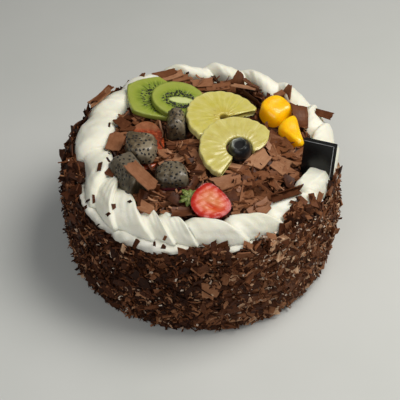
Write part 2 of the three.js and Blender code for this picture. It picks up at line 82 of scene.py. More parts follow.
BED_TOP = 95
BED_DOME = 1.2  # how much the bed rises to its middle
BED_UNDER_ROPE = 3  # how far its dark layer reaches in under the rope
BED_COLLAR = (3.0, 0.86)  # rise of the scattered flakes at the rope, and where it begins
BED_MARGIN = 0.15  # how far the scattered flakes stay from the toppings and the rope

# How far the side shavings reach, measured up the side and on over the shoulder, by azimuth.
SHAVINGS_REACH = [
    (-180, 95), (-166, 100), (-154, 88), (-140, 81), (-122, 79.5), (-108, 80), (-99, 84),
    (-90, 94), (-82, 92), (-77, 84), (-70, 88), (-60, 94), (-50, 95),
    (-41, 97), (-36, 92), (-33, 84), (-29, 80), (-26, 84), (-22, 94), (-10, 98), (20, 97),
    (60, 95), (90, 94), (130, 93), (160, 94), (180, 95),
]

# Where each topping's own frame lies, and its turns about X, Y and Z.
PLACES = {
    "kiwi_slice_back": ((-37.2, 57.5, 103.5), (6, 9, 0)),
    "kiwi_slice_front": ((-17, 52.9, 105.3), (6, 9, 0)),
    "pineapple_ring_back": ((20, 29, 105.2), (5, 8, 0)),
    "pineapple_ring_front": ((31, -9.9, 106.5), (11, 5, 0)),
    "mango_chunk_back": ((61.8, 40, 101.6), (13, 0, -5)),
    "mango_chunk_front": ((71.9, 14.2, 100.4), (13, 0, 10)),
    "blueberry": ((31.4, -11, 105.1), (14, -8, 0)),
    "strawberry_half": ((8.5, -68, 104.5), (16, 6, -18)),
    "strawberry_slice": ((-43, 3.5, 98), (5, 0, 0)),
    "dragonfruit_1": ((-45.5, -9.4, 105.6), (5, 2, -4)),
    "dragonfruit_2": ((-54.8, -34.8, 102.3), (0, 0, 30)),
    "dragonfruit_3": ((-21.4, -36.2, 100.8), (4, 0, 4)),
    "dragonfruit_4": ((-18.6, 18.4, 106.2), (3, 0, 0)),
    "plaque": ((77.7, -27.2, 94), (-10, 3, -20)),
    "strawberry_calyx": ((-6.6, -62.2, 102.4), (10, 0, 150)),
}

CAMERA_PLACE = np.array([0.42, -593.66, 612.41])
CAMERA_AIM = np.array([0.42, 41.37, 0.0])
CAMERA_LENS = 89.44
SENSOR_WIDTH = 36
PHOTO_SIZE = 400


# ------------------------------------------------------------------ numbers and noise

def lerp(low, high, share):
    return low + (high - low) * share


def smooth(low, high, value):
    """0 below low, 1 above high, and a smooth step between them."""
    share = np.clip((np.asarray(value, float) - low) / (high - low), 0, 1)
    return share * share * (3 - 2 * share)


def folded(degrees):
    """The same direction between -180 and 180."""
    return (np.asarray(degrees) + 180) % 360 - 180


def unit(vectors):
    """The vectors, each with a length of one."""
    return vectors / np.linalg.norm(vectors, axis=-1, keepdims=True)


RIPPLE_WAVES = 7


def ripple(points, size, seed):
    """Smooth noise of about -1 to 1 over points, with bumps of about the given size."""
    random = np.random.default_rng(seed)
    total = np.zeros(points.shape[:-1])
    for _ in range(RIPPLE_WAVES):
        direction = random.normal(size=points.shape[-1])
        direction /= np.linalg.norm(direction)
        turns = points @ direction * (2 * math.pi / (size * random.uniform(1.2, 2.6)))
        total += np.sin(turns + random.uniform(0, 2 * math.pi))
    return total / math.sqrt(RIPPLE_WAVES)


def placing(position, turns):
    """Turn matrix and position of a piece, with the turns about X, Y and Z of the solids."""
    turn = Matrix.Identity(3)
    for angle, axis in zip(turns, "XYZ"):
        turn = turn @ Matrix.Rotation(math.radians(angle), 3, axis)
    return np.array(turn), np.array(position, float)


def colour(red, green, blue):
    """A display colour, 0 to 255, as Blender's linear colour."""
    parts = np.array([red, green, blue]) / 255
    linear = np.where(parts <= 0.04045, parts / 12.92, ((parts + 0.055) / 1.055) ** 2.4)
    return (*linear.tolist(), 1.0)


# ------------------------------------------------------------------ meshes

def linked(name, data):
    """A new object in the scene."""
    obj = bpy.data.objects.new(name, data)
    bpy.context.scene.collection.objects.link(obj)
    return obj


def as_lists(faces):
    return faces.tolist() if isinstance(faces, np.ndarray) else list(faces)


def add_mesh(name, points, faces, look, local=None, values=None, flat=False):
    """A mesh object: points in millimetres, faces as index lists."""
    mesh = bpy.data.meshes.new(name)
    mesh.from_pydata((np.asarray(points) * MM).tolist(), [], as_lists(faces))
    mesh.shade_flat() if flat else mesh.shade_smooth()
    local = points if local is None else local
    attribute = mesh.attributes.new("local", "FLOAT_VECTOR", "POINT")
    attribute.data.foreach_set("vector", np.asarray(local, np.float32).ravel())
    for key, data in (values or {}).items():
        attribute = mesh.attributes.new(key, "FLOAT", "POINT")
        attribute.data.foreach_set("value", np.asarray(data, np.float32).ravel())
    mesh.materials.append(look)
    return linked(name, mesh)


def add_piece(name, points, faces, look, slot, replaced, **details):
    """One piece of the cake; details are what add_mesh takes."""
    piece = add_mesh(name, points, faces, look, **details)
    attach(piece, "root")
    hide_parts(*replaced)
    return piece


def grid_faces(rows, columns, wrap_rows=False, wrap_columns=False):
    """Quads over a rows x columns grid of points, closed round where it wraps."""
    row = np.arange(rows if wrap_rows else rows - 1)[:, None]
    column = np.arange(columns if wrap_columns else columns - 1)[None, :]
    next_row = (row + 1) % rows
    next_column = (column + 1) % columns
    corners = [
        row * columns + column,
        row * columns + next_column,
        next_row * columns + next_column,
        next_row * columns + column,
    ]
    return np.stack([c.ravel() for c in np.broadcast_arrays(*corners)], axis=1)


def fan(middle, start, count, flip=False):
    """Triangles from a middle point round a ring of count points that begins at start."""
    ring = start + np.arange(count)
    after = start + (np.arange(count) + 1) % count
    first, second = (after, ring) if flip else (ring, after)
    return np.stack([np.full(count, middle), first, second], axis=1).tolist()


def closed_rings(rings, ends):
    """Points and faces of rings of points, the lowest first, closed by a point at each end."""
    rows, columns = rings.shape[:2]
    count = rows * columns
    faces = grid_faces(rows, columns, wrap_columns=True).tolist()
    faces += fan(count, 0, columns, flip=True) + fan(count + 1, count - columns, columns)
    return np.vstack([rings.reshape(-1, 3), ends]), faces


def revolved(radii, heights, segments):
    """Points and faces of a closed body of revolution.

    The profile runs from the bottom middle to the top middle.
    """
    angles = np.linspace(0, 2 * math.pi, segments, endpoint=False)
    inner = np.arange(1, len(radii) - 1)
    axes = [(radii, np.cos(angles)), (radii, np.sin(angles)), (heights, np.ones(segments))]
    rings = np.stack([np.outer(part[inner], turn) for part, turn in axes], axis=2)
    return closed_rings(rings, [[0, 0, heights[0]], [0, 0, heights[-1]]])


def quad_ball(steps):
    """Unit ball of six quad grids with shared edges: points and faces."""
    side = np.tan(np.linspace(-math.pi / 4, math.pi / 4, steps + 1))
    u, v = np.meshgrid(side, side, indexing="ij")
    one = np.ones_like(u)
    panels = [(one, u, v), (-one, v, u), (v, one, u), (u, -one, v), (u, v, one), (v, u, -one)]
    points = np.concatenate([np.stack(p, axis=2).reshape(-1, 3) for p in panels])
    quads = grid_faces(steps + 1, steps + 1)
    faces = np.concatenate([quads + i * (steps + 1) ** 2 for i in range(6)])
    keys = np.round(points, 6) + 0.0  # adding zero turns -0.0 into 0.0, so that edges meet
    _, first, inverse = np.unique(keys, axis=0, return_index=True, return_inverse=True)
    points = points[first]
    return unit(points), inverse.ravel()[faces]


def join_copies(points, faces, places):
    """Many copies of one small mesh; places holds (matrix, position) pairs."""
    count = len(points)
    all_points = np.concatenate([points @ turn.T + position for turn, position in places])
    all_faces = np.concatenate([faces + i * count for i in range(len(places))])
    return all_points, all_faces


# ------------------------------------------------------------------ materials

class Look:
    """A material being put together; most methods add a node and give back its output."""

    def __init__(self, name, **sockets):
        self.material = bpy.data.materials.new(name)
        self.material.use_nodes = True
        self.tree = self.material.node_tree
        self.surface = self.tree.nodes["Principled BSDF"]
        for key, value in sockets.items():
            self.surface.inputs[key.replace("_", " ")].default_value = value

    def give(self, socket, value):
        """Links an output to an input, or sets the input to a plain value."""
        if isinstance(value, bpy.types.NodeSocket):
            self.tree.links.new(value, socket)
        else:
            socket.default_value = value

    def add(self, kind, sockets, **settings):
        node = self.tree.nodes.new(kind)
        for key, value in settings.items():
            setattr(node, key, value)
        for key, value in sockets.items():
            self.give(node.inputs[key], value)
        return node

    def attribute(self, name="local", output="Vector"):
        return self.add("ShaderNodeAttribute", {}, attribute_name=name).outputs[output]

    def value(self, name):
        return self.attribute(name, "Fac")

    def stretch(self, vector, scale):
        return self.add("ShaderNodeMapping", {"Vector": vector, "Scale": scale}).outputs["Vector"]

    def flat_vector(self, x, y):
        return self.add("ShaderNodeCombineXYZ", {"X": x, "Y": y, "Z": 0.0}).outputs[0]

    def along(self, vector, axis):
        return self.add("ShaderNodeSeparateXYZ", {"Vector": vector}).outputs[axis]

    def reach(self, vector, direction):
        """How far a point lies along a direction."""
        sockets = {0: vector, 1: direction}
        node = self.add("ShaderNodeVectorMath", sockets, operation="DOT_PRODUCT")
        return node.outputs["Value"]

    def noise(self, vector, size, detail=3.0, distortion=0.0):
        sockets = {
            "Vector": vector, "Scale": 1 / size, "Detail": detail,
            "Roughness": 0.55, "Distortion": distortion,
        }
        return self.add("ShaderNodeTexNoise", sockets).outputs["Fac"]

    def cells(self, vector, size):
        sockets = {"Vector": vector, "Scale": 1 / size}
        return self.add("ShaderNodeTexVoronoi", sockets).outputs["Distance"]

    def math(self, operation, first, second):
        return self.add("ShaderNodeMath", {0: first, 1: second}, operation=operation).outputs[0]

    def plus(self, first, second):
        return self.math("ADD", first, second)

    def times(self, first, second):
        return self.math("MULTIPLY", first, second)

    def swing(self, value, size):
        """Noise of 0 to 1 as a swing about zero."""
        return self.times(self.math("SUBTRACT", value, 0.5), size)

    def steps(self, factor, low, high, to_low=0.0, to_high=1.0):
        sockets = {
            "Value": factor, "From Min": low, "From Max": high,
            "To Min": to_low, "To Max": to_high,
        }
        node = self.add("ShaderNodeMapRange", sockets, interpolation_type="SMOOTHSTEP")
        return node.outputs["Result"]

    def ramp(self, factor, stops):
        node = self.add("ShaderNodeValToRGB", {"Fac": factor})
        elements = node.color_ramp.elements
        while len(elements) < len(stops):
            elements.new(0.5)
        for element, (place, shade) in zip(elements, stops):
            element.position = place
            element.color = colour(*shade)
        return node.outputs["Color"]

    def cloudy(self, place, size, dark, light):
        """Soft clouds of two display colours."""
        return self.ramp(self.noise(place, size), [(0.3, dark), (0.7, light)])

    def mix(self, factor, first, second):
        """From first to second; either is an output or a display colour."""
        node = self.add("ShaderNodeMix", {}, data_type="RGBA")
        shades = [colour(*shade) if isinstance(shade, tuple) else shade for shade in (first, second)]
        for key, value in zip(("Factor_Float", "A_Color", "B_Color"), (factor, *shades)):
            self.give(next(s for s in node.inputs if s.identifier == key), value)
        return next(s for s in node.outputs if s.identifier == "Result_Color")

    def finish(self, shade, height=None, depth=0.1, roughness=None):
        """Sets colour, bump (depth in millimetres) and roughness; returns the material."""
        self.give(self.surface.inputs["Base Color"], shade)
        if roughness is not None:
            self.give(self.surface.inputs["Roughness"], roughness)
        if height is not None:
            bump = self.add("ShaderNodeBump", {"Height": height, "Distance": depth * MM})
            self.give(self.surface.inputs["Normal"], bump.outputs["Normal"])
        return self.material


def soft(weight, *spread):
    """Socket values of light that spreads under a surface, in millimetres a colour."""
    return {"Subsurface_Weight": weight, "Subsurface_Radius": spread, "Subsurface_Scale": MM}


def wet(roughness, shine, coat, coat_roughness, under):
    """Socket values of a moist surface; under is what soft takes."""
    return {
        "Roughness": roughness, "Specular_IOR_Level": shine,
        "Coat_Weight": coat, "Coat_Roughness": coat_roughness, **soft(*under),
    }


def cream_look():
    look = Look("whipped_cream", Roughness=0.5, Specular_IOR_Level=0.35, **soft(0.35, 5, 4, 2.6))
    place = look.attribute()
    shade = look.cloudy(place, 22, (235, 232, 212), (243, 240, 225))
    return look.finish(shade, look.noise(place, 1.6, detail=4), depth=0.18)


def chocolate_look(name, stops, roughness=0.45, scrape=(0.25, 1.4, 1.4), depth=0.12, shine=0.16):
    """Shaved chocolate: each flake has its own tone, with scrape lines along it."""
    look = Look(name, Roughness=roughness, Specular_IOR_Level=shine)
    place = look.attribute()
    lines = look.noise(look.stretch(place, scrape), 1.0, detail=3)
    cloud = look.noise(place, 5)
    tone = look.plus(look.value("tone"), look.swing(cloud, 0.35))
    tone = look.plus(tone, look.swing(lines, 0.3))
    shade = look.ramp(tone, stops)
    return look.finish(shade, lines, depth=depth)


SIDE_TONES = [
    (0.0, (40, 19, 9)), (0.3, (72, 38, 20)), (0.6, (110, 66, 40)),
    (0.85, (150, 102, 70)), (1.0, (206, 170, 136)),
]
TOP_TONES = [
    (0.0, (42, 20, 10)), (0.25, (84, 46, 26)), (0.5, (120, 74, 46)),
    (0.75, (150, 102, 72)), (1.0, (184, 138, 104)),
]

CREAM = cream_look()
SIDE_CHOCOLATE = chocolate_look("side_chocolate", SIDE_TONES, roughness=0.55, shine=0.1)
TOP_CHOCOLATE = chocolate_look("top_chocolate", TOP_TONES, roughness=0.42)


# ------------------------------------------------------------------ camera, floor and light

def aimed(obj, place, aim):
    obj.location = Vector(place) * MM
    direction = Vector(aim) * MM - obj.location
    obj.rotation_euler = direction.to_track_quat("-Z", "Y").to_euler()


def add_camera():
    data = bpy.data.cameras.new("camera")
    data.lens = CAMERA_LENS
    data.sensor_width = SENSOR_WIDTH
    data.clip_start = 0.05
    camera = linked("camera", data)
    aimed(camera, CAMERA_PLACE, CAMERA_AIM)
    bpy.context.scene.camera = camera


def photo_ray(pixel):
    """Camera place and direction of the ray through a pixel of the 400 x 400 photo frame."""
    forward = unit(CAMERA_AIM - CAMERA_PLACE)
    right = unit(np.cross(forward, [0, 0, 1]))
    up = np.cross(right, forward)
    focal = PHOTO_SIZE * CAMERA_LENS / SENSOR_WIDTH
    across = (pixel[0] - PHOTO_SIZE / 2) / focal
    down = (pixel[1] - PHOTO_SIZE / 2) / focal
    return CAMERA_PLACE, unit(forward + across * right - down * up)


def add_light(name, place, aim, size, power, tint):
    data = bpy.data.lights.new(name, "AREA")
    data.size = size * MM
    data.energy = power
    data.color = tint
    aimed(linked(name, data), place, aim)


def add_surroundings():
    floor_look = Look("floor", Roughness=0.7)
    shade = floor_look.cloudy(floor_look.attribute(), 160, (206, 207, 202), (212, 212, 208))
    reach = 3000
    corners = [(-reach, -reach, 0), (reach, -reach, 0), (reach, reach, 0), (-reach, reach, 0)]
    floor = add_mesh("floor", corners, [[0, 1, 2, 3]], floor_look.finish(shade), flat=True)

    world = bpy.data.worlds.new("world")
    world.use_nodes = True
    background = world.node_tree.nodes["Background"]
    background.inputs["Color"].default_value = (0.95, 0.98, 1.0, 1)
    background.inputs["Strength"].default_value = 0.13
    bpy.context.scene.world = world
    bpy.context.scene.view_settings.view_transform = "Standard"

    middle = (0, 0, 60)
    add_light("key", (410, 40, 830), middle, 520, 6.6, (1.0, 0.985, 0.94))
    add_light("fill", (-300, -760, 600), middle, 700, 2.7, (0.98, 0.99, 1.0))


# ------------------------------------------------------------------ cake body and border

def body_radius(x, y, height):
    """Radius of the cream coat at a height, in the direction of x and y."""
    to_right = np.clip(x / np.maximum(np.hypot(x, y), 1e-6), 0, None)
    bulge = np.sin(math.pi * np.clip(height / BODY_HEIGHT, 0, 0.9))
    return lerp(BASE_RADIUS, BODY_RADIUS, bulge) + RIGHT_BULGE * bulge * to_right**2


def coat_frame(azimuth, along):
    """Point on the coat and its outward normal, with along measured up the side and inwards.

    The path goes up the side, round the shoulder and on over the flat top.
    """
    azimuth, along = np.broadcast_arrays(azimuth, along)
    angle = np.radians(azimuth)
    x, y = np.cos(angle), np.sin(angle)
    corner = BODY_HEIGHT - SHOULDER_ROUND
    quarter = SHOULDER_ROUND * math.pi / 2
    turn = np.clip((along - corner) / quarter, 0, 1) * math.pi / 2
    inward = np.clip(along - corner - quarter, 0, None)
    height = np.minimum(along, corner) + SHOULDER_ROUND * np.sin(turn)
    reach = body_radius(x, y, height) - SHOULDER_ROUND * (1 - np.cos(turn)) - inward
    points = np.stack([x * reach, y * reach, height], axis=-1)
    lean = np.cos(turn)
    normals = np.stack([x * lean, y * lean, np.sin(turn)], axis=-1)
    return points, normals


def shavings_reach(azimuth):
    table = np.array(SHAVINGS_REACH, float)
    return np.interp(folded(azimuth), table[:, 0], table[:, 1])


def add_coat():
    """The cream coat, dark with pressed-in chocolate below the shavings' upper edge."""
    along = np.concatenate([np.linspace(0, *COAT_SIDE_ROWS), np.linspace(*COAT_TOP_ROWS)])
    azimuth = np.linspace(-180, 180, COAT_COLUMNS, endpoint=False)
    points, normals = coat_frame(azimuth[None, :], along[:, None])
    points = points - normals * COAT_SINK
    points[0, :, 2] = 0
    lumps = 0.5 * ripple(points, 9, 3) + 0.35 * ripple(points, 4, 5)
    lumps *= smooth(2, 10, along)[:, None]
    points = points + normals * lumps[..., None]
    covered = smooth(1.5, -1.5, along[:, None] - shavings_reach(azimuth)[None, :])
    points, faces = closed_rings(points, [[0, 0, 0], [0, 0, BODY_HEIGHT - COAT_SINK]])
    look = Look("coat", Roughness=0.55, Specular_IOR_Level=0.3, **soft(0.15, 3, 2.4, 1.6))
    place = look.attribute()
    cream = look.cloudy(place, 18, (226, 224, 208), (240, 236, 224))
    crumbs = look.noise(place, 2.2, detail=4)
    edge = look.plus(look.value("covered"), look.math("SUBTRACT", crumbs, 0.5))
    specks = look.steps(look.noise(look.stretch(place, (1, 1, 1.3)), 3.2), 0.62, 0.67)
    dark = look.mix(specks, (62, 36, 22), (206, 184, 160))
    shade = look.mix(look.steps(edge, 0.45, 0.6), cream, dark)
    material = look.finish(shade, look.noise(place, 1.5, detail=4), depth=0.3)
    values = {"covered": np.concatenate([covered.ravel(), [1, 0]])}
    return add_piece("cake_coat", points, faces, material, "cream", ["cake_body"], values=values)


def round_border(degrees, radius):
    """x and y in a direction and at a distance from the middle of the rope of cream."""
    turn = np.radians(degrees)
    return BORDER_CENTRE[0] + radius * np.cos(turn), BORDER_CENTRE[1] + radius * np.sin(turn)


def border_inner(degrees):
    """Radius of the rope's inner foot about its own centre."""
    to_left = np.clip(-np.cos(np.radians(degrees)), 0, None)
    return BORDER_OUTER_RADIUS - BORDER_WIDTH[0] - BORDER_WIDTH[1] * to_left**2


def border_points(strand, across, section):
    """Points on the rope of cream, by strand number, share across it and section angle.

    The section goes from 0 at the outer foot over the crest to 180 at the inner foot.
    """
    table = np.array(STRANDS + [(STRANDS[0][0] + 360, STRANDS[0][1] + 360, *STRANDS[0][2:])])
    inward = np.clip(section / 180, 0, 1)
    start = lerp(table[strand, 1], table[strand, 0], inward)
    end = lerp(table[strand + 1, 1], table[strand + 1, 0], inward)
    degrees = lerp(start, end, across)
    head, height = table[strand, 2], table[strand, 3]

    turn = np.radians(degrees)
    crest = lerp(lerp(0.9, 0.66, np.clip(np.sin(turn), 0, 1)), 0.74, inward)
    quick = lerp(0.15, 0.6, inward**1.5)
    rising = quick * np.clip(across / 0.2, 0, 1) ** 0.6
    rising = rising + (1 - quick) * np.clip(across / crest, 0, 1)
    falling = np.clip((1 - across) / (1 - crest), 0, 1) ** 0.7
    rise = -0.1 * np.log(np.exp(-rising / 0.1) + np.exp(-falling / 0.1))
    depth = lerp(0.22, 0.5, inward**1.3)
    fullness = 1 - depth * (1 - rise)

    bulge = np.sin(math.pi * np.clip(across, 0, 1) ** 0.6) ** 0.8
    tail = np.clip(across / crest, 0, 1) * np.clip((1 - across) / (1 - crest) * 2, 0, 1)
    outer = BORDER_OUTER_RADIUS + BORDER_SIDE_REACH * np.cos(turn) ** 2 - 3 * (1 - tail)
    for at, spread, depth in BORDER_DENTS:
        outer = outer - depth * np.exp(-((folded(degrees - at) / spread) ** 2))
    inner = border_inner(degrees) + head * (1 - bulge)
    skew = lerp(*BORDER_SKEW, (1 + np.sin(turn)) / 2)
    angle = np.radians(section)
    share = (1 - np.cos(angle)) / 2
    lift = np.clip(np.sin(angle), 0, None)
    radius = lerp(outer, inner, share) - skew * lift * (outer - inner) / 2
    power = lerp(lerp(0.7, 1.15, np.clip(-np.sin(turn), 0, 1)), 0.8, inward)
    rise = height * fullness * lift**power
    rise = np.where(strand == CUT_STRAND[0], np.minimum(rise, CUT_STRAND[1]), rise)
    z = BORDER_BASE + rise - BORDER_SUNK * (lift <= 0)
    return np.stack([*round_border(degrees, radius), z], axis=-1)


def add_border():
    across = np.concatenate(
        [np.linspace(0, 0.2, 9), np.linspace(0.24, 0.8, 15), np.linspace(0.83, 0.985, 8)]
    )
    section = np.linspace(-8, 188, 50)
    strand = np.repeat(np.arange(len(STRANDS)), len(across))
    share = np.tile(across, len(STRANDS))
    points = border_points(strand[None, :], share[None, :], section[:, None])
    swell = 0.5 * ripple(points, 13, 11) + 0.16 * ripple(points, 4, 12)
    number, size = FLUTES
    flutes = size * np.sin(share[None, :] * 2 * math.pi * number + section[:, None] * 0.02)
    top = np.sin(np.radians(np.clip(section, 0, 180)))[:, None]
    points[..., 2] += (swell + flutes) * top
    outward = points - np.append(BORDER_CENTRE, 0)
    outward[..., 2] = 0
    outward = unit(outward)
    side = np.cos(np.radians(section))[:, None] * np.clip(top * 3, 0, 1)
    points += outward * (swell * side)[..., None]
    rows, columns = points.shape[:2]
    faces = grid_faces(rows, columns, wrap_rows=True, wrap_columns=True)[:, ::-1]
    return add_piece(
        "piped_border", points.reshape(-1, 3), faces, CREAM, "cream", ["cream_border"]
    )


# ------------------------------------------------------------------ chocolate flakes

END_SLANT = 0.45  # how much a flake's end may slant, against its width
FULL_SLANT = 0.05  # the raggedness from which an end slants in full
NARROWING = 0.35  # how much a flake may narrow or widen along its length
SIDE_RAGGED = 0.55  # how ragged the long sides are against the ends
LEAST_BEND = 0.02  # in radians; keeps a flat flake from a division by zero
ROLL_OPENING = 0.12  # how much wider a roll gets in half a turn


def flake_points(sizes, bends, steps, random, ragged, taper=0.0):
    """Bent, rolled flakes round the origin: shape (flakes, 2, length steps, width steps, 3).

    sizes holds length, width and thickness; bends holds curl along the length, roll across
    the width and twist, in degrees. The long axis is X and the face is up.
    """
    count = len(sizes)
    nu, nv = steps
    u = np.linspace(-0.5, 0.5, nu + 1)[None, :, None]
    v = np.linspace(-0.5, 0.5, nv + 1)[None, None, :]
    length, width, thickness = (sizes[:, i][:, None, None] for i in range(3))
    curl, roll, twist = (np.radians(bends[:, i])[:, None, None] for i in range(3))
    u = np.broadcast_to(u, (count, nu + 1, nv + 1)).copy()
    v = np.broadcast_to(v, (count, nu + 1, nv + 1)).copy()
    end_jitter = random.uniform(-1, 1, (count, 2, nv + 1)) * ragged
    slant = random.uniform(-END_SLANT, END_SLANT, (count, 2, 1))
    slant = slant * v[:, 0, :][:, None, :] * width / length
    end_jitter = end_jitter + slant * min(1, ragged / FULL_SLANT)
    narrowing = random.uniform(-NARROWING, NARROWING, count) + taper
    v *= np.clip(1 + narrowing[:, None, None] * u, 0.1, None)
    side_jitter = random.uniform(-1, 1, (count, nu + 1, 2)) * ragged * SIDE_RAGGED
    u[:, 0, :] -= end_jitter[:, 0]
    u[:, -1, :] += end_jitter[:, 1]
    v[:, :, 0] -= side_jitter[:, :, 0]
    v[:, :, -1] += side_jitter[:, :, 1]
    curl = np.where(np.abs(curl) < LEAST_BEND, LEAST_BEND, curl)
    roll = np.where(np.abs(roll) < LEAST_BEND, LEAST_BEND, roll)
    across = v * roll
    spiral = 1 + ROLL_OPENING * np.abs(across) / math.pi
    y = width / roll * np.sin(across) * spiral
    lift = width / roll * (1 - np.cos(across)) * spiral
    normal_y, normal_z = -np.sin(across), np.cos(across)
    layers = []
    for face in (1, -1):
        offset = face * thickness / 2
        py = y + offset * normal_y
        pz = lift + offset * normal_z
        turn = u * twist
        py, pz = py * np.cos(turn) - pz * np.sin(turn), py * np.sin(turn) + pz * np.cos(turn)
        along = u * curl
        reach = length / curl - pz
        layers.append(
            np.stack([reach * np.sin(along), py, length / curl - reach * np.cos(along)], axis=-1)
        )
    return np.stack(layers, axis=1)


def flake_faces(steps):
    """Quads of one closed flake: both faces and the four edges."""
    nu, nv = steps
    layer = (nu + 1) * (nv + 1)
    top = grid_faces(nu + 1, nv + 1)[:, ::-1]
    bottom = grid_faces(nu + 1, nv + 1) + layer
    index = np.arange(layer).reshape(nu + 1, nv + 1)
    rim = np.concatenate([index[:-1, 0], index[-1, :-1], index[:0:-1, -1], index[0, :0:-1]])
    after = np.roll(rim, -1)
    edge = np.stack([rim, after, after + layer, rim + layer], axis=1)
    return np.concatenate([top, bottom, edge[:, ::-1]])


def draws(random, count, *spans):
    """Columns of random numbers, one for each span, drawn one column after the other."""
    return np.stack([random.uniform(*span, count) for span in spans], axis=1)


def spun_frames(normals, spin, lean, random):
    """Turn matrices that lay each flake on a surface: spin about the normal, then lean."""
    tilt, pitch = random.normal(0, lean, len(normals)), random.normal(0, lean, len(normals))
    upward = np.tile([0.0, 0.0, 1.0], (len(normals), 1))
    flat_on_top = np.abs(normals[:, 2]) > 0.99
    upward[flat_on_top] = [0, 1, 0]
    tangent = unit(np.cross(upward, normals))
    other = np.cross(normals, tangent)
    base = np.stack([tangent, other, normals], axis=2)

    def turned(angles, axis):
        a = np.radians(angles)
        c, s, zero, one = np.cos(a), np.sin(a), np.zeros_like(a), np.ones_like(a)
        rows = {
            "X": [[one, zero, zero], [zero, c, -s], [zero, s, c]],
            "Y": [[c, zero, s], [zero, one, zero], [-s, zero, c]],
            "Z": [[c, -s, zero], [s, c, zero], [zero, zero, one]],
        }[axis]
        return np.moveaxis(np.array(rows), 2, 0)

    return base @ turned(spin, "Z") @ turned(pitch, "Y") @ turned(tilt, "X")


def tree_of(objects):
    """One search tree, in millimetres, over the meshes of some objects."""
    vertices, polygons = [], []
    for mesh in (obj.data for obj in objects):
        start = len(vertices)
        vertices += [tuple(v.co / MM) for v in mesh.vertices]
        polygons += [[start + i for i in p.vertices] for p in mesh.polygons]
    return BVHTree.FromPolygons(vertices, polygons)


class Keep:
    """Tells which points stay clear of some CAD nodes."""

    def __init__(self, nodes, margin=0.0):
        self.tree = tree_of(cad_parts[name] for name in nodes)
        self.margin = margin

    def clear(self, point):
        """Clear of a solid: the first face straight above doesn't show its inner side."""
        _, above, _, _ = self.tree.ray_cast(Vector(point), Vector((0, 0, 1)))
        if above is not None and above.z > 0:
            return False
        near, _, _, _ = self.tree.find_nearest(Vector(point), max(self.margin, 1e-4))
        return near is None


def add_flakes(name, look, slot, replaced, places, sizes, bends, steps, seed,
               ragged=0.06, tone=None, keep=None, taper=0.0):
    """One piece of many joined flakes. places holds positions and turn matrices."""
    random = np.random.default_rng(seed)
    positions, turns = places
    local = flake_points(sizes, bends, steps, random, ragged, taper)
    count = len(sizes)
    local = local.reshape(count, -1, 3)
    world = np.einsum("fij,fpj->fpi", turns, local) + positions[:, None, :]
    if tone is None:
        tone = random.uniform(0.05, 0.95, count)
    if keep is not None:
        corner_rows = world[:, :: max(1, world.shape[1] // 12)]
        good = np.array([all(keep.clear(p) for p in rows) for rows in corner_rows])
        world, local, tone = world[good], local[good], tone[good]
    above_floor = world[:, :, 2].min(axis=1) > 0.1
    world, local, tone = world[above_floor], local[above_floor], tone[above_floor]
    count, size = world.shape[:2]
    template = flake_faces(steps)
    faces = (template[None] + np.arange(count)[:, None, None] * size).reshape(-1, 4)
    shift = random.uniform(0, 400, (count, 1, 3))
    values = {"tone": np.repeat(tone, size)}
    return add_piece(
        name, world.reshape(-1, 3), faces, look, slot, replaced,
        local=(local + shift).reshape(-1, 3), values=values, flat=True,
    )


# What the bed's scattered flakes stay clear of, together with the rope.
TOPPING_NODES = [node for node in PLACES if node != "strawberry_calyx"]


def over_bed(pixel, height):
    """Point a height over the bed's plane that shows at a pixel, and the way up."""
    place, direction = photo_ray(pixel)
    return place + direction * ((BED_TOP + height - place[2]) / direction[2]), np.array([0, 0, 1.0])


class Skin:
    """The outside of some meshes, to find the point that shows at a pixel."""

    def __init__(self, pieces):
        self.tree = tree_of(pieces)

    def at(self, pixel, height):
        """Point a height over the outside that shows at a pixel, and the way out of it."""
        place, direction = photo_ray(pixel)
        point, normal, _, _ = self.tree.ray_cast(Vector(place), Vector(direction))
        if point is None:
            beside = place + direction * ((BODY_HEIGHT - place[2]) / direction[2])
            point, normal, _, _ = self.tree.find_nearest(Vector(beside))
        normal = np.array(normal)
        if normal.dot(direction) > 0:
            normal = -normal
        return np.array(point) + normal * height, normal


PLAIN_FLAKE = ((0, 0, 0), 0.0)  # the angles and the narrowing of a row that leaves them out
BROAD_FLAKE = (4, 0.9)  # beyond this width a flake has this thickness
NARROW_FLAKE = 0.7


def laid_flakes(name, rows, look, slot, replaced, land, steps, seed, ragged=0.05):
    """Flakes from a table of named places.

    Each row holds the pixels of both ends, the width, the heights of both ends over what
    carries them, or one for both, and the tone. The angles (lean about the long axis, curl,
    roll) may follow, and then, for a pointed flake, how much it narrows towards its second end.
    """
    positions, turns, sizes, bends, tones, tapers = [], [], [], [], [], []
    for row in rows:
        start, end, width, heights, tone, angles, narrowing = row + PLAIN_FLAKE[len(row) - 5:]
        at_start, at_end = np.broadcast_to(heights, 2)
        (first, up_first), (last, up_last) = land(start, at_start), land(end, at_end)
        length = np.linalg.norm(last - first)
        x_axis = (last - first) / length
        normal = up_first + up_last
        normal -= x_axis * normal.dot(x_axis)
        normal /= np.linalg.norm(normal)
        base = np.stack([x_axis, np.cross(normal, x_axis), normal], axis=1)
        positions.append((first + last) / 2)
        turns.append(base @ np.array(Matrix.Rotation(math.radians(angles[0]), 3, "X")))
        sizes.append([length, width, BROAD_FLAKE[1] if width > BROAD_FLAKE[0] else NARROW_FLAKE])
        bends.append([angles[1], angles[2], 0])
        tones.append(tone)
        tapers.append(-narrowing)
    places = np.array(positions), np.array(turns)
    return add_flakes(name, look, slot, replaced, places, np.array(sizes, float),
                      np.array(bends, float), steps, seed, ragged=ragged, tone=np.array(tones),
                      taper=np.array(tapers))


EDGE_SCATTER = 1.3  # how far the shavings stray from their upper edge
PAINTED_LIGHT_AZIMUTH = -25  # painted light: the azimuth of the key light, towards which the side's flakes get lighter tones
SIDE_SPIN = 48  # how far the side's flakes turn away from level, in degrees


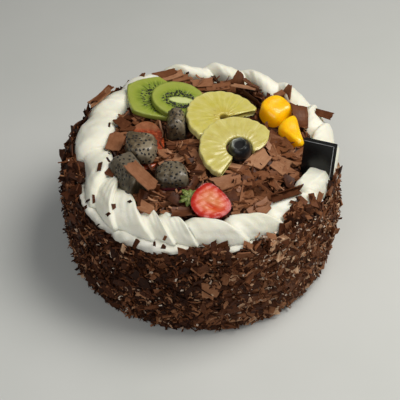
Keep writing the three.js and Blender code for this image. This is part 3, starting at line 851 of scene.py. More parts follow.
def side_flakes(name, count, length, width, thickness, curl, tilt, out, steps, seed,
                span=(-180, 180), rows=(0, 1)):
    """Flakes pressed into the side, over its whole height and on over the shoulder.

    span holds the azimuths that they cover, and rows the shares of the height.
    """
    random = np.random.default_rng(seed)
    azimuth = random.uniform(*span, count)
    reach = shavings_reach(azimuth) + random.normal(0, EDGE_SCATTER, count)
    along = random.uniform(*rows, count) * reach
    points, normals = coat_frame(azimuth, along)
    sizes = draws(random, count, length, width, thickness)
    sizes[:, :2] *= random.uniform(0.75, 1.15, (count, 1))
    curls = random.uniform(*curl, count) * random.choice([-1, 1], count)
    bends = np.column_stack([curls, draws(random, count, (-60, 60), (-50, 50))])
    turns = spun_frames(normals, random.normal(0, SIDE_SPIN, count), tilt, random)
    positions = points + normals * random.uniform(*out, count)[:, None]
    # Painted light: the flakes' tones get lighter towards the key light at the right and darker on the
    # shaded left.
    to_right = smooth(0.2, 0.95, np.cos(np.radians(azimuth - PAINTED_LIGHT_AZIMUTH)))
    tone = random.uniform(0, 1, count) ** lerp(2.4, 1.2, to_right)
    tone = tone * lerp(0.95, 0.78, to_right) + 0.22 * to_right
    add_flakes(
        name, SIDE_CHOCOLATE, "side_shavings", ["cake_body"], (positions, turns), sizes,
        bends, steps, seed + 1, ragged=0.1, tone=tone,
        keep=Keep(["cream_border", "plaque"]),
    )


def climbing_flakes(name, count, span, sections, seed):
    """Flakes that reach from the side up on to the outer face of the rope of cream.

    span holds the azimuths about the rope's centre, and sections the angles of the section;
    fewer flakes lie high up.
    """
    random = np.random.default_rng(seed)
    tries = 12 * count
    strand = random.integers(0, len(STRANDS), tries)
    across = random.uniform(0.05, 0.95, tries)
    section = lerp(*sections, random.uniform(0, 1, tries) ** 1.5)
    points = border_points(strand, across, section)
    azimuth = np.degrees(np.arctan2(*(points[:, :2] - BORDER_CENTRE).T[::-1]))
    middle, half = np.mean(span), np.ptp(span) / 2
    fade = 1 - (np.abs(azimuth - middle) / half) ** 2
    low_enough = section < sections[0] + np.ptp(sections) * fade
    chosen = np.flatnonzero((fade > 0) & low_enough)[:count]
    strand, across, section, points = strand[chosen], across[chosen], section[chosen], points[chosen]
    along_rope = border_points(strand, across + 0.02, section) - points
    up_rope = border_points(strand, across, section + 2) - points
    normals = unit(np.cross(along_rope, up_rope))
    count = len(chosen)
    sizes = random.uniform((5, 2.2, 0.5), (13, 5, 0.9), (count, 3))
    bends = random.uniform((-50, -50, -30), (50, 50, 30), (count, 3))
    turns = spun_frames(normals, random.normal(90, 40, count), 16, random)
    positions = points + normals * random.uniform(0.6, 2.6, count)[:, None]
    tone = random.uniform(0.05, 0.75, count)
    add_flakes(name, SIDE_CHOCOLATE, "side_shavings", ["cake_body"], (positions, turns), sizes,
               bends, (3, 1), seed + 1, ragged=0.1, tone=tone, keep=Keep(["plaque"]))


# Flakes on the rim and the side that stand out: see laid_flakes.
RIM_FLAKES = [
    ((220, 261), (218, 247), 17, (1, 3), 0.42), ((229, 261), (225, 248), 5, (2, 4), 0.3, (30, 0, 0)),
    ((251, 250), (254, 243), 2.8, (2, 4), 0.4), ((243.5, 249), (244.5, 243), 1.8, (1, 3), 0.3),
    ((134, 247), (139, 240.5), 3.2, (1, 2), 0.3), ((155, 254), (154.5, 244), 2, (1, 2), 0.2),
    ((160, 257), (164, 246.5), 3.5, (1, 2), 0.35), ((203, 257), (205, 251), 3, (1, 2), 0.3),
    ((207, 258), (206, 251), 2, (1, 2), 0.25), ((316, 207), (318, 192.5), 5, (1, 3), 0.75),
    ((303, 212), (303, 205), 3.4, (1, 3), 0.5), ((306.5, 213), (306.5, 204.5), 3, (1, 3), 0.6),
    ((310, 213), (310, 206), 3, (1, 3), 0.4), ((325, 217), (323, 207), 4, (1, 3), 0.3),
    ((331, 214), (333, 195), 5, (1, 3), 0.45), ((238, 258), (268, 254), 4.5, 1.5, 0.8),
    ((250, 253), (268, 249), 5, (1, 2), 0.5), ((233, 266), (246, 261), 6, (1, 1.5), 0.42),
    ((140, 264), (158, 261), 6, (1, 1.5), 0.42), ((148, 267), (169, 262), 6, 1.5, 0.5),
    ((174, 262), (201, 256), 9, (1, 1.5), 0.4, (0, 0, 10)),
    ((178, 251), (188, 253), 5, (1.5, 2), 0.5, (0, 20, 60)),
    ((187, 250), (198, 255), 5, 2, 0.42, (20, 0, 50)), ((176, 255), (190, 257), 4, 2, 0.3, (-20, 0, 40)),
    ((292.5, 241), (292.5, 223), 5, (1, 2.5), 0.6), ((299.5, 238), (298.5, 223), 9, (1, 2), 0.45),
    ((285, 240), (290, 236), 6, (1, 1.5), 0.3), ((268, 249), (267, 236), 5, (1, 2), 0.62),
    ((274, 247), (275, 235), 5, (1, 2), 0.5), ((280, 245), (279, 233.5), 4, (1, 2), 0.42),
    ((150, 272), (186, 270), 5, 1, 0.12), ((152, 281), (190, 279), 7, 1, 0.18),
    ((160, 290), (196, 288), 6, 1, 0.1), ((202, 286), (218, 288), 13, 4.2, 0.8),
    ((262, 279), (262, 264), 9, (1, 2), 0.6), ((206, 318), (222, 315), 12, 4, 0.66),
    ((80, 181), (77, 162), 6, (1.5, 2.5), 0.62), ((66, 177), (71, 164), 7, (2, 3), 0.5),
    ((63, 168), (74, 158), 8, (2, 4), 0.45), ((66, 152), (76, 150), 9, (2, 3), 0.3),
    ((76, 119), (91, 110), 9, (3, 5), 0.2, (10, 20, 0)), ((80, 123), (92, 117), 7, (3, 4), 0.3),
    ((86, 113), (97, 104), 6, (3, 4), 0.12, (20, 0, 0)),
    ((93, 108), (112, 95), 10, (4, 5), 0.85, (0, 10, 0)),
    ((98, 105), (114, 93), 6, (5, 6), 0.6, (10, 0, 30)),
]

# Small dark bits lying on the cream.
CREAM_CRUMBS = [
    ((99, 171), (100.5, 163), 3.2, 0.3, 0.3), ((114.5, 209), (113, 204), 3, 0.4, 0.35),
    ((107, 215.5), (110, 213), 2.4, 0.3, 0.15), ((86, 202), (90, 199.5), 1.6, 0.3, 0.05),
    ((94, 203), (93.5, 195), 2, 0.2, 0.35), ((85, 208), (87, 206.5), 2.4, 0.3, 0.1),
    ((129, 201), (131, 202.5), 2.4, 0.3, 0), ((164, 240), (166, 236), 2, 0.3, 0.6),
    ((109, 127), (109.5, 123), 1.6, 0.3, 0.2), ((104, 149), (109, 154), 1.4, 0.3, 0.1),
    ((107, 158), (109.5, 162), 1.4, 0.3, 0.1), ((186, 73.5), (189, 72.5), 1.6, 0.3, 0.2),
]


def add_side(skin):
    """The shavings of the side and the rim; skin is the outside of coat and border."""
    for part, seed in (("a", 31), ("b", 35)):
        side_flakes("side_shreds_" + part, 4600, (4, 12), (0.7, 2.1), (0.35, 0.6),
                    (20, 150), 22, (0.2, 3.4), (3, 1), seed)
    side_flakes("side_chips", 1900, (5, 11), (2.2, 4.8), (0.4, 0.8), (5, 50), 14,
                (0.8, 3.2), (3, 1), 41)
    side_flakes("side_plates", 230, (10, 18), (4.5, 8.5), (0.7, 1.1), (5, 45), 10,
                (1.6, 3.8), (5, 2), 51, rows=(0, 0.92))
    side_flakes("front_right_chips", 800, (6, 12), (3, 5.5), (0.5, 0.9), (5, 40), 10,
                (2.2, 3.8), (3, 1), 52, span=(-80, 15))
    side_flakes("collar_plates", 110, (9, 17), (4, 8), (0.7, 1.1), (5, 50), 26,
                (1.5, 4.5), (5, 2), 53, span=(125, 205), rows=(0.86, 1.01))
    climbing_flakes("climbing_flakes", 120, (-57, -34), (1, 60), 59)
    climbing_flakes("climbing_right", 34, (-29, -12), (1, 26), 58)
    climbing_flakes("climbing_back", 50, (128, 152), (1, 22), 60)
    laid_flakes("rim_flakes", RIM_FLAKES, SIDE_CHOCOLATE, "side_shavings", ["cake_body"],
                skin.at, (5, 3), 55)
    laid_flakes("cream_crumbs", CREAM_CRUMBS, SIDE_CHOCOLATE, "side_shavings",
                ["cream_border"], skin.at, (3, 2), 56, ragged=0.05)
    add_flecks()


def add_flecks():
    """Small shreds of cream between the side's shavings; in part they are painted highlights on curl edges.
    """
    random = np.random.default_rng(57)
    # The second, denser draw lies towards the lit right, where more painted highlights show.
    azimuth = np.concatenate([random.uniform(-180, 180, 330), random.uniform(-75, 5, 420)])
    count = len(azimuth)
    along = shavings_reach(azimuth) * random.uniform(0.02, 0.97, count)
    points, normals = coat_frame(azimuth, along)
    points = points + normals * random.uniform(2.2, 4.0, count)[:, None]
    turns = spun_frames(normals, random.normal(0, 60, count), 25, random)
    sizes = random.uniform((1.2, 0.6, 0.3), (4.2, 1.8, 0.5), (count, 3))
    bends = random.uniform((-140, -60, -50), (140, 60, 50), (count, 3))
    look = Look("cream_and_highlight_flecks", Roughness=0.6, Specular_IOR_Level=0.25)
    shade = look.ramp(look.value("tone"),
                      [(0.0, (158, 122, 94)), (1.0, (242, 224, 204))])
    add_flakes("cream_and_highlight_flecks", look.finish(shade), "cream", ["cake_body"], (points, turns), sizes,
               bends, (3, 1), 61, ragged=0.2, keep=Keep(["cream_border", "plaque"]))


# ------------------------------------------------------------------ bed of shavings

def add_bed_base():
    """The dark, lumpy layer under the loose flakes."""
    rings, columns = 46, 160
    share = np.linspace(0, 1, rings)[1:]
    degrees = np.linspace(0, 360, columns, endpoint=False)
    radius = np.outer(share, border_inner(degrees) + BED_UNDER_ROPE)
    flat = np.stack(round_border(degrees, radius), axis=2)
    height = BED_TOP - 1.4 + BED_DOME * (1 - share[:, None] ** 2)
    height = height + 0.7 * ripple(flat, 6, 61) + 0.5 * ripple(flat, 2.6, 62)
    top = np.concatenate([flat, height[..., None]], axis=2).reshape(-1, 3)
    low = top.copy()
    low[:, 2] = BODY_HEIGHT - 0.6
    points = np.vstack([top, low, [[*BORDER_CENTRE, BED_TOP], [*BORDER_CENTRE, low[0, 2]]]])
    rows, count = len(share), len(top)
    sheet = grid_faces(rows, columns, wrap_columns=True)
    rim = (rows - 1) * columns + np.arange(columns)
    after = np.roll(rim, -1)
    edge = np.stack([rim, count + rim, count + after, after], axis=1)
    faces = np.concatenate([sheet[:, ::-1], sheet + count, edge]).tolist()
    faces += fan(2 * count, 0, columns) + fan(2 * count + 1, count, columns, flip=True)
    look = chocolate_look(
        "bed_chocolate",
        [(0.0, (34, 18, 12)), (0.6, (70, 42, 28)), (1.0, (100, 66, 46))],
        roughness=0.6, scrape=(1, 1, 1), depth=0.4,
    )
    values = {"tone": np.full(len(points), 0.4)}
    add_piece("bed_base", points, faces, look, "top_shavings", ["top_shavings"], values=values)


def bed_spots(count, random):
    """Even places over the bed: x, y and the share of the way to the border."""
    share = np.sqrt(random.uniform(0, 1, count))
    degrees = random.uniform(0, 360, count)
    return *round_border(degrees, share * (border_inner(degrees) + 1)), share


def bed_flakes(name, count, length, width, thickness, curl, roll, tilt, height, steps, seed,
               tones):
    random = np.random.default_rng(seed)
    x, y, share = bed_spots(count, random)
    rise, start = BED_COLLAR
    dome = BED_DOME * (1 - share**2) + rise * smooth(start, 1.0, share)
    z = BED_TOP + dome + random.uniform(*height, count)
    positions = np.stack([x, y, z], axis=1)
    normals = np.tile([0.0, 0.0, 1.0], (count, 1))
    turns = spun_frames(normals, random.uniform(-180, 180, count), tilt, random)
    sizes = draws(random, count, length, width, thickness)
    bends = draws(random, count, curl, roll, (-25, 25))
    tone = random.uniform(*tones, count)
    add_flakes(
        name, TOP_CHOCOLATE, "top_shavings", ["top_shavings"], (positions, turns), sizes,
        bends, steps, seed + 1, ragged=0.07, tone=tone,
        keep=Keep(TOPPING_NODES + ["cream_border"], BED_MARGIN),
    )


# The flakes of the bed that stand out: see laid_flakes.
BED_FLAKES = [
    ((252, 167), (266, 152), 15, (4, 6), 0.9, (0, 8, 0)),
    ((250, 176), (273, 158), 6, (1.5, 2.5), 0.3, (30, 0, 0)),
    ((270, 146), (292, 157), 13, (3, 3.5), 0.5, (-8, 10, -30)),
    ((274, 161), (288, 170), 14, (3, 4), 0.82, (10, 0, 40)),
    ((271, 176), (299, 176), 9, (2.5, 3.5), 0.46, (0, 10, 30)),
    ((228, 186), (252, 190), 12, (2, 3), 0.5, (5, 0, 30)),
    ((255, 186), (272, 199), 8, (4, 4.5), 0.5, (40, 0, 20)),
    ((224, 197), (243, 200), 10, (2, 2.5), 0.36, (-5, 0, 30)),
    ((227, 164.5), (243, 168), 5, 2.5, 0.9, (0, 10, 20)),
    ((236, 173), (250, 166), 4, (2.5, 3), 0.85, (10, 0, 0)),
    ((209, 181), (236, 175), 3.5, (2, 3), 0.75, (15, 5, 0)),
    ((222, 171), (243, 174), 3, 2.5, 0.7, (0, 5, 0)),
    ((218, 187), (240.5, 179.5), 10, (3.5, 4), 0.74, (0, 10, 25)),
    ((225, 196), (241, 191), 10, (2, 2.5), 0.5, (-5, 0, 0)),
    ((242, 204), (246, 181), 5, (3, 3.5), 0.66, (30, 6, 0)),
    ((248, 189), (263, 183), 9, 2.5, 0.42, (0, 10, -20)), ((244, 186), (256, 173), 7, 3, 0.4, (-10, 0, 0)),
    ((249, 197.5), (262, 194.5), 6, 1.5, 0.55, (0, 0, -30)),
    ((262, 185.5), (272.5, 201), 7, (5, 3.5), 0.12, (25, -15, 0)),
    ((270, 203), (253, 213), 8, (2.5, 2), 0.5), ((273, 181), (278, 191), 5, 3.5, 0.75, (45, 0, 0)),
    ((259, 177), (271, 172), 11, 2.5, 0.52), ((284, 168), (297, 176), 8, 4, 0.7, (0, 8, -25)),
    ((272, 202), (301, 192.5), 15, (4.8, 7), 0.3, (0, 0, 300)),
    ((250, 217), (270, 202), 11, (3, 4.5), 0.66, (10, 0, 20)),
    ((233, 206.5), (256, 204), 9, 2.5, 0.62, (0, 8, 0)), ((246, 203), (259, 201.5), 6, 3.5, 0.68),
    ((245, 217), (261, 213), 9, 2, 0.56), ((232, 213.5), (246, 212), 3.5, 2, 0.72),
    ((195, 178), (206, 173.5), 11, 2.5, 0.66), ((191, 167), (200, 160), 9, 2, 0.5),
    ((187, 141.5), (202, 140.5), 3.6, 3.5, 0.64, (0, 0, 30)),
    ((187, 145.5), (202, 145), 3.6, 3, 0.56, (0, 0, 30)),
    ((188, 149), (201, 149), 3.2, 2.5, 0.5, (0, 0, 30)), ((193, 155), (197, 153), 4, 3, 0.97),
    ((152, 158.5), (172, 155.5), 8, 3, 0.42), ((170, 159), (190, 156), 7, 2.5, 0.52),
    ((166, 144), (186, 142), 4, 3, 0.28, (10, 0, 0)), ((168, 148), (187, 146.5), 4, 2.5, 0.22),
    ((134, 198), (160, 196), 8.5, 3, 0.48), ((140, 208), (158, 206), 9.5, 2.5, 0.66, (0, 0, -20)),
    ((162, 197), (179, 195), 8, 2, 0.3), ((178, 216), (185, 206), 6, (2, 2.5), 0.45),
    ((162, 204), (176, 203), 4, 2, 0.6), ((166, 209), (182, 208), 3.5, 2, 0.5),
    ((160, 211), (172, 214), 3.5, 2, 0.65), ((130, 164.5), (154, 188), 11, (17.4, 13.5), 0.68, (8, 15, 40)),
    ((154, 192), (153, 184), 9, (2, 12), 0.4, (0, 0, 20)), ((112, 150), (119, 133), 13, (5, 6), 0.62),
    ((108, 175), (116, 166), 8, 5, 0.25), ((117, 119), (128, 127), 8, (8, 7), 0.3, (20, 0, 0)),
    ((121, 128), (134, 129), 6, 6, 0.35), ((154, 78), (176, 70.5), 7, (8, 12), 0.42, (20, 10, 0), 0.6),
    ((162, 79), (183, 72.5), 8, (8, 11), 0.82, (5, 10, 0), 0.4),
    ((172, 80), (189, 77), 8, (8, 9), 0.68, (0, 10, 0), 0.5),
    ((141, 79), (144, 73), 5, (8, 13), 0.5, (0, 0, 0), 1), ((170, 82.5), (190, 82), 6, 7, 0.4),
    ((192, 84), (213, 82), 9, (6, 7), 0.7, (10, 5, 0)), ((207, 88), (230, 86), 8, (5, 6), 0.58, (5, 0, 0)),
    ((196, 89), (212, 88), 6, 4, 0.45), ((237.5, 84), (240, 72), 9, (5, 14), 0.4, (10, -30, 30), 0.9),
    ((243, 80), (258, 89), 7, (9, 8), 0.35, (-30, 20, 40)),
    ((232, 85), (256, 89), 7, (11, 9), 0.85, (-20, 0, 20)),
    ((243, 95), (260, 105), 10, (7, 6), 0.05, (-60, 0, 90)),
    ((285, 99), (290, 84.5), 9, (3.5, 14), 0.55, (-25, -20, 20), 1.2),
    ((276, 96), (284, 92), 6, (7, 9), 0.62, (0, 0, 30)), ((275, 95.5), (284, 92), 5, (8, 9), 0.6),
    ((268, 101), (268.5, 93), 3, (5, 11), 0.2),
    ((301.5, 127), (299, 104), 13, (5, 14), 0.36, (10, -60, 40)),
    ((296, 122), (295, 106), 6, (4, 10), 0.1, (-40, 0, 0)), ((270, 131), (277, 137), 5, 3, 0.3),
    ((315, 111.5), (332, 116.5), 6, (8, 9), 0.3, (35, 0, 10)),
    ((139, 204.5), (152, 211), 9, (4.2, 4.8), 0.78, (0, 0, 20)),
]


def add_bed():
    add_bed_base()
    bed_flakes("bed_crumbs", 2600, (1.5, 5), (0.6, 1.6), (0.3, 0.6), (0, 90), (0, 60), 26,
               (-1.8, 0.4), (2, 1), 71, (0.0, 0.5))
    bed_flakes("bed_chips", 700, (5, 12), (2.0, 5), (0.5, 0.9), (0, 60), (-20, 60), 22,
               (-1.4, 1.2), (4, 2), 73, (0.0, 0.6))
    bed_flakes("bed_plates", 210, (12, 22), (5.0, 10.5), (0.7, 1.1), (0, 55), (-40, 60), 16,
               (0.3, 3.0), (7, 4), 75, (0.08, 0.86))
    bed_flakes("bed_shreds", 260, (6, 15), (0.8, 1.7), (0.4, 0.6), (10, 110), (-60, 60), 16,
               (0.8, 3.2), (5, 1), 79, (0.3, 0.95))
    laid_flakes("bed_named", BED_FLAKES, TOP_CHOCOLATE, "top_shavings", ["top_shavings"],
                over_bed, (7, 5), 77)


# ------------------------------------------------------------------ fruit

def add_fruit(name, node, local, faces, look, slot, values=None, flat=False):
    turn, place = placing(*PLACES[node])
    points = local @ turn.T + place
    add_piece(name, points, faces, look, slot, [node], local=local, values=values, flat=flat)


def with_seeds(local, faces, seed_points, seed_faces):
    """Joins seeds to a fruit's mesh and marks them, so that one material colours both."""
    points = np.vstack([local, seed_points])
    face_list = as_lists(faces) + (seed_faces + len(local)).tolist()
    marks = np.concatenate([np.zeros(len(local)), np.ones(len(seed_points))])
    return points, face_list, {"seed": marks}


SEED_BALL = quad_ball(3)


def seeds_at(places, normals, directions, length, width, height, random):
    """Small drop-shaped seeds lying on a surface, long axis along directions."""
    ball, faces = SEED_BALL
    items = []
    for place, normal, direction in zip(places, normals, directions):
        x_axis = direction - normal * direction.dot(normal)
        x_axis /= np.linalg.norm(x_axis) + 1e-9
        frame_axes = np.stack([x_axis, np.cross(normal, x_axis), normal], axis=1)
        grow = random.uniform(0.8, 1.15)
        scale = np.diag([length / 2 * grow, width / 2 * grow, height / 2 * grow])
        items.append((frame_axes @ scale, place))
    return join_copies(ball, faces, items)


def slice_profile(thickness, edge, rings):
    """Radii and heights of a slice from its bottom middle to its top middle."""
    low = np.linspace(0, 1 - edge, rings)
    wall = [(1 - edge * 0.3, -0.96), (1, -0.85), (1.004, -0.6), (1.004, -0.4), (1, -0.15)]
    wall += [(1 - edge * 0.3, -0.03)]
    radii = np.concatenate([low, [r for r, _ in wall], low[::-1]])
    heights = np.concatenate([np.full(rings, -1.0), [h for _, h in wall], np.zeros(rings)])
    return radii, heights * thickness


def kiwi_shades(look, core, ring):
    """Cut kiwi: pale core, rays and bright green round the seeds, yellow-green rim."""
    place = look.attribute()
    seed = look.value("seed")
    radial = look.value("radial")
    around = look.value("around")
    radial = look.plus(radial, look.swing(look.noise(place, 5), 0.12))
    flesh = look.ramp(
        radial,
        [
            (0.0, (208, 214, 150)), (core * 0.85, (203, 210, 140)),
            (core * 1.1, (120, 138, 34)), (ring, (122, 140, 36)),
            (ring + 0.12, (148, 160, 56)), (0.93, (160, 168, 74)),
            (1.0, (128, 140, 50)),
        ],
    )
    rays = look.noise(look.stretch(look.flat_vector(around, radial), (11, 1.5, 1)), 1, detail=2)
    ray_zone = look.steps(radial, core * 0.9, core * 1.3)
    ray = look.times(look.steps(rays, 0.5, 0.64), ray_zone)
    ray = look.times(ray, look.steps(radial, ring + 0.22, ring, 0.0, 1.0))
    flesh = look.mix(look.times(ray, 0.55), flesh, (178, 188, 100))
    between = look.times(look.steps(rays, 0.5, 0.4), ray_zone)
    between = look.times(between, look.steps(radial, ring + 0.12, ring - 0.1))
    flesh = look.mix(look.times(between, 0.7), flesh, (56, 64, 22))
    shade = look.mix(seed, flesh, (18, 17, 12))
    return look.finish(shade, look.noise(place, 1.2), depth=0.25)


KIWI_SIDES = 5  # an angular slice has this many sides
KIWI_FIRST_CORNER = 83  # the direction of one of its corners


def add_kiwi(name, node, size, core, core_at, ring, seed_count, seed, facets):
    width, depth, thickness = size
    random = np.random.default_rng(seed)
    radii, heights = slice_profile(thickness, 0.05, 22)
    points, faces = revolved(radii, heights, 96)
    angle = np.arctan2(points[:, 1], points[:, 0])
    side = 360 / KIWI_SIDES
    from_edge = (np.degrees(angle) - KIWI_FIRST_CORNER) % side - side / 2
    cut = 1 - facets * (1 - math.cos(math.pi / KIWI_SIDES) / np.cos(np.radians(from_edge)))
    cut = cut - 0.012 * np.sin(angle * 2 + seed)
    local = points.copy()
    local[:, 0] *= width / 2 * cut
    local[:, 1] *= depth / 2 * cut
    from_core = local[:, :2] - core_at
    bearing = np.arctan2(from_core[:, 1], from_core[:, 0])

    def reaches(angles):
        """How far the core and the rim are from the core's middle, by direction."""
        x, y = np.cos(angles), np.sin(angles)
        at_core = 1 / np.hypot(x / core[0], y / core[1])
        a = (x / width) ** 2 + (y / depth) ** 2
        b = x * core_at[0] / width**2 + y * core_at[1] / depth**2
        c = (core_at[0] / width) ** 2 + (core_at[1] / depth) ** 2 - 0.25
        return at_core, (-b + np.sqrt(b * b - a * c)) / a

    at_core, at_rim = reaches(bearing)
    reach = np.hypot(from_core[:, 0], from_core[:, 1])
    level = np.where(reach < at_core, 0.3 * reach / at_core,
                     0.3 + 0.7 * np.clip((reach - at_core) / (at_rim - at_core), 0, 1))
    on_top = smooth(-0.6, -0.05, local[:, 2])
    dip = smooth(0.3, 0.42, level) * smooth(0.7, 0.5, level)
    local[:, 2] += on_top * (0.35 * smooth(0.32, 0.1, level) - 0.25 * dip)
    local[:, 2] += on_top * 0.12 * ripple(local, 3, seed + 2)
    spots = []
    for i in range(seed_count):
        turn = 2 * math.pi * (i + random.uniform(-0.35, 0.35)) / seed_count
        near, far = reaches(turn)
        distance = lerp(near, far, random.uniform(0.06, ring))
        spots.append([core_at[0] + distance * math.cos(turn),
                      core_at[1] + distance * math.sin(turn), -0.12])
    spots = np.array(spots)
    up = np.tile([0.0, 0.0, 1.0], (len(spots), 1))
    toward = (spots - [*core_at, 0]) * [1, 1, 0]
    seeds, seed_faces = seeds_at(spots, up, toward, 1.9, 0.85, 0.8, random)
    local_all, face_all, values = with_seeds(local, faces, seeds, seed_faces)
    values["radial"] = np.concatenate([level, np.full(len(seeds), 0.4)])
    values["around"] = np.abs(np.concatenate([bearing, np.zeros(len(seeds))]))
    look = Look(name, **wet(0.3, 0.45, 0.25, 0.2, (0.25, 3, 3.5, 1.2)))
    material = kiwi_shades(look, 0.3, 0.3 + 0.7 * ring)
    add_fruit(name, node, local_all, face_all, material, "kiwi_flesh", values)


def add_pineapple(name, node, outer, inner, thickness, outer_span, inner_span, seed, deep,
                  heart, spotted):
    """A ring piece with rounded corners, ridged round its outer wall, and closed ends."""
    arc_steps, bevel = 110, 1.6
    section = []
    corners = [(1, -1), (1, 1), (0, 1), (0, -1)]
    for side, level in corners:
        start = {(1, -1): -90, (1, 1): 0, (0, 1): 90, (0, -1): 180}[(side, level)]
        for turn in np.radians(np.linspace(start, start + 90, 5)):
            centre = (outer - bevel) if side else (inner + bevel)
            middle = -bevel if level > 0 else bevel - thickness
            section.append([centre + bevel * math.cos(turn), middle + bevel * math.sin(turn)])
        if level > 0 and side:
            for share in np.linspace(0, 1, 12)[1:-1]:
                section.append([lerp(outer - bevel, inner + bevel, share), 0])
    section = np.array(section)
    radius, height = section[:, 0], section[:, 1]
    outward = (radius - inner) / (outer - inner)
    share = np.linspace(0, 1, arc_steps)[:, None]
    start = lerp(inner_span[0], outer_span[0], outward)[None, :]
    end = lerp(inner_span[1], outer_span[1], outward)[None, :]
    degrees = lerp(start, end, share)
    close = np.minimum(smooth(0, 0.02, share), smooth(1, 0.98, share))
    middle_radius, middle_height = (outer + inner) / 2, -thickness / 2
    pull = 0.82 + 0.18 * close
    ring_radius = middle_radius + (radius[None, :] - middle_radius) * pull
    ring_height = middle_height + (height[None, :] - middle_height) * pull
    turn = np.radians(degrees)
    wall = smooth(0.9, 1.0, outward)[None, :]
    ridge = np.abs(np.sin(turn * 10 + 0.9 * np.sin(turn * 4 + seed)))
    ring_radius = ring_radius - wall * 0.9 * (1 - ridge)
    local = np.stack(
        [ring_radius * np.cos(turn), ring_radius * np.sin(turn), ring_height], axis=2
    )
    on_top = smooth(-0.5, -0.05, height)[None, :]
    fibre = np.stack([turn * 9, ring_radius / 9], axis=2)
    local[..., 2] += on_top * (0.13 * ripple(fibre, 1.0, seed) - 0.06 * (1 - ridge) * outward**2)
    rows, columns = local.shape[:2]
    points = local.reshape(-1, 3)
    faces = grid_faces(rows, columns, wrap_columns=True).tolist()
    for row, flip in ((0, False), (rows - 1, True)):
        points = np.vstack([points, local[row].mean(axis=0)])
        faces += fan(len(points) - 1, row * columns, columns, flip)
    around = np.concatenate([turn.ravel(), [turn[0].mean(), turn[-1].mean()]])
    level = np.concatenate([np.broadcast_to(outward, turn.shape).ravel(), [0.5, 0.5]])
    look = Look(name, **wet(0.28, 0.45, 0.3, 0.15, (0.3, 4, 3.5, 1.2)))
    place = look.attribute()
    vector = look.flat_vector(look.value("around"), look.value("radial"))
    fibres = look.noise(look.stretch(vector, (6, 1.6, 1)), 1.0, detail=4, distortion=1.0)
    patches = look.noise(place, 9)
    base = look.ramp(patches, [(0.32, deep), (0.62, (205, 194, 108))])
    light = look.steps(fibres, 0.48, 0.72)
    edge = look.steps(look.value("radial"), 0.8, 1.0)
    light = look.plus(look.times(light, 0.3), look.times(edge, 0.3))
    shade = look.mix(light, base, (232, 222, 160))
    core = look.steps(look.value("radial"), 0.4, 0.1)
    shade = look.mix(look.times(core, 0.6), shade, heart)
    spots = look.times(look.steps(look.noise(place, 3.4), 0.6, 0.68), core)
    shade = look.mix(look.times(spots, spotted), shade, (128, 96, 34))
    material = look.finish(shade, fibres, depth=0.16)
    values = {"around": around, "radial": level}
    add_fruit(name, node, points, faces, material, "pineapple_flesh", values)


def chunk(size, cuts, power, steps):
    """A rounded block: a box with further faces cut on it, by azimuth, elevation and distance.

    A small power makes it round, a large one sharp. Gives points, faces and directions.
    """
    ball, faces = quad_ball(steps)
    planes = []
    for axis, whole in enumerate(size):
        planes += [(np.eye(3)[axis] * side, whole / 2) for side in (1, -1)]
    for azimuth, elevation, distance in cuts:
        turn, rise = math.radians(azimuth), math.radians(elevation)
        flat = math.cos(rise)
        normal = np.array([flat * math.cos(turn), flat * math.sin(turn), math.sin(rise)])
        planes.append((normal, distance))
    total = sum(np.clip(ball @ normal / distance, 0, None) ** power for normal, distance in planes)
    return ball * (total ** (-1 / power))[:, None], faces, ball


def add_mango(name, node, size, cuts, power, seed):
    points, faces, _ = chunk(size, cuts, power, 20)
    local = points * (1 + 0.03 * ripple(points, 9, seed)[:, None])
    look = Look(name, **wet(0.26, 0.4, 0.25, 0.12, (0.6, 7, 4.5, 0.7)))
    # A faint glow stands for the light that comes through the flesh.
    look.surface.inputs["Emission Color"].default_value = colour(255, 150, 0)
    look.surface.inputs["Emission Strength"].default_value = 0.12
    place = look.attribute()
    shade = look.cloudy(place, 8, (250, 178, 2), (255, 204, 8))
    unripe = look.steps(look.along(place, "X"), -0.24 * size[0], -0.46 * size[0])
    shade = look.mix(look.times(unripe, 0.5), shade, (206, 182, 40))
    material = look.finish(shade, look.noise(place, 2.5), depth=0.12)
    add_fruit(name, node, local, faces, material, "mango_flesh")


def add_berry():
    radius, crown, depth, lobes = 9.2, 5.2, 1.6, 5
    angles = np.linspace(-90, 90, 60)
    radii = radius * np.cos(np.radians(angles))
    heights = radius * np.sin(np.radians(angles))
    crown_height = math.sqrt(radius**2 - crown**2)
    dish = np.where((radii < crown) & (heights > 0))
    share = radii[dish] / crown
    heights[dish] = crown_height - depth * (1 - share**4)
    rim = np.exp(-((radii - crown) / 0.5) ** 2) * (heights > 0)
    radii[0], radii[-1] = 0, 0
    points, faces = revolved(radii, heights + 0.7 * rim, 80)
    turn = np.arctan2(points[:, 1], points[:, 0])
    reach = np.hypot(points[:, 0], points[:, 1])
    near_rim = np.exp(-((reach - crown) / 0.9) ** 2) * (points[:, 2] > 0)
    points[:, 2] += near_rim * 0.5 * np.cos(turn * lobes)
    points[:, :2] *= (1 + near_rim * 0.05 * np.cos(turn * lobes))[:, None]
    look = Look("berry", Roughness=0.3, Specular_IOR_Level=0.45, Sheen_Weight=0.04)
    place = look.attribute()
    bloom = look.steps(look.noise(place, 4), 0.45, 0.75)
    skin = look.mix(bloom, (13, 14, 16), (30, 33, 36))
    # Painted shade: the crown's hollow is coloured near black.
    skin = look.mix(look.value("hollow"), skin, (6, 6, 6))
    dull = look.steps(look.value("hollow"), 0, 1, 0.3, 0.85)
    # Painted highlight: a pale crescent on the crown's rim, on its upper left side only.
    material = look.finish(look.mix(look.value("rim"), skin, (150, 154, 144)),
                           look.noise(place, 0.8), depth=0.12, roughness=dull)
    # Painted highlight: how strongly the rim's crescent shows, by direction round the crown.
    painted_highlight_side = 0.1 + 0.9 * smooth(-0.3, 0.7, np.cos(turn - math.radians(140)))
    hollow = smooth(crown * 0.9, crown * 0.6, reach) * (points[:, 2] > 0)
    add_fruit("berry", "blueberry", points, faces, material, "blueberry_skin",
              {"rim": near_rim * painted_highlight_side, "hollow": hollow})


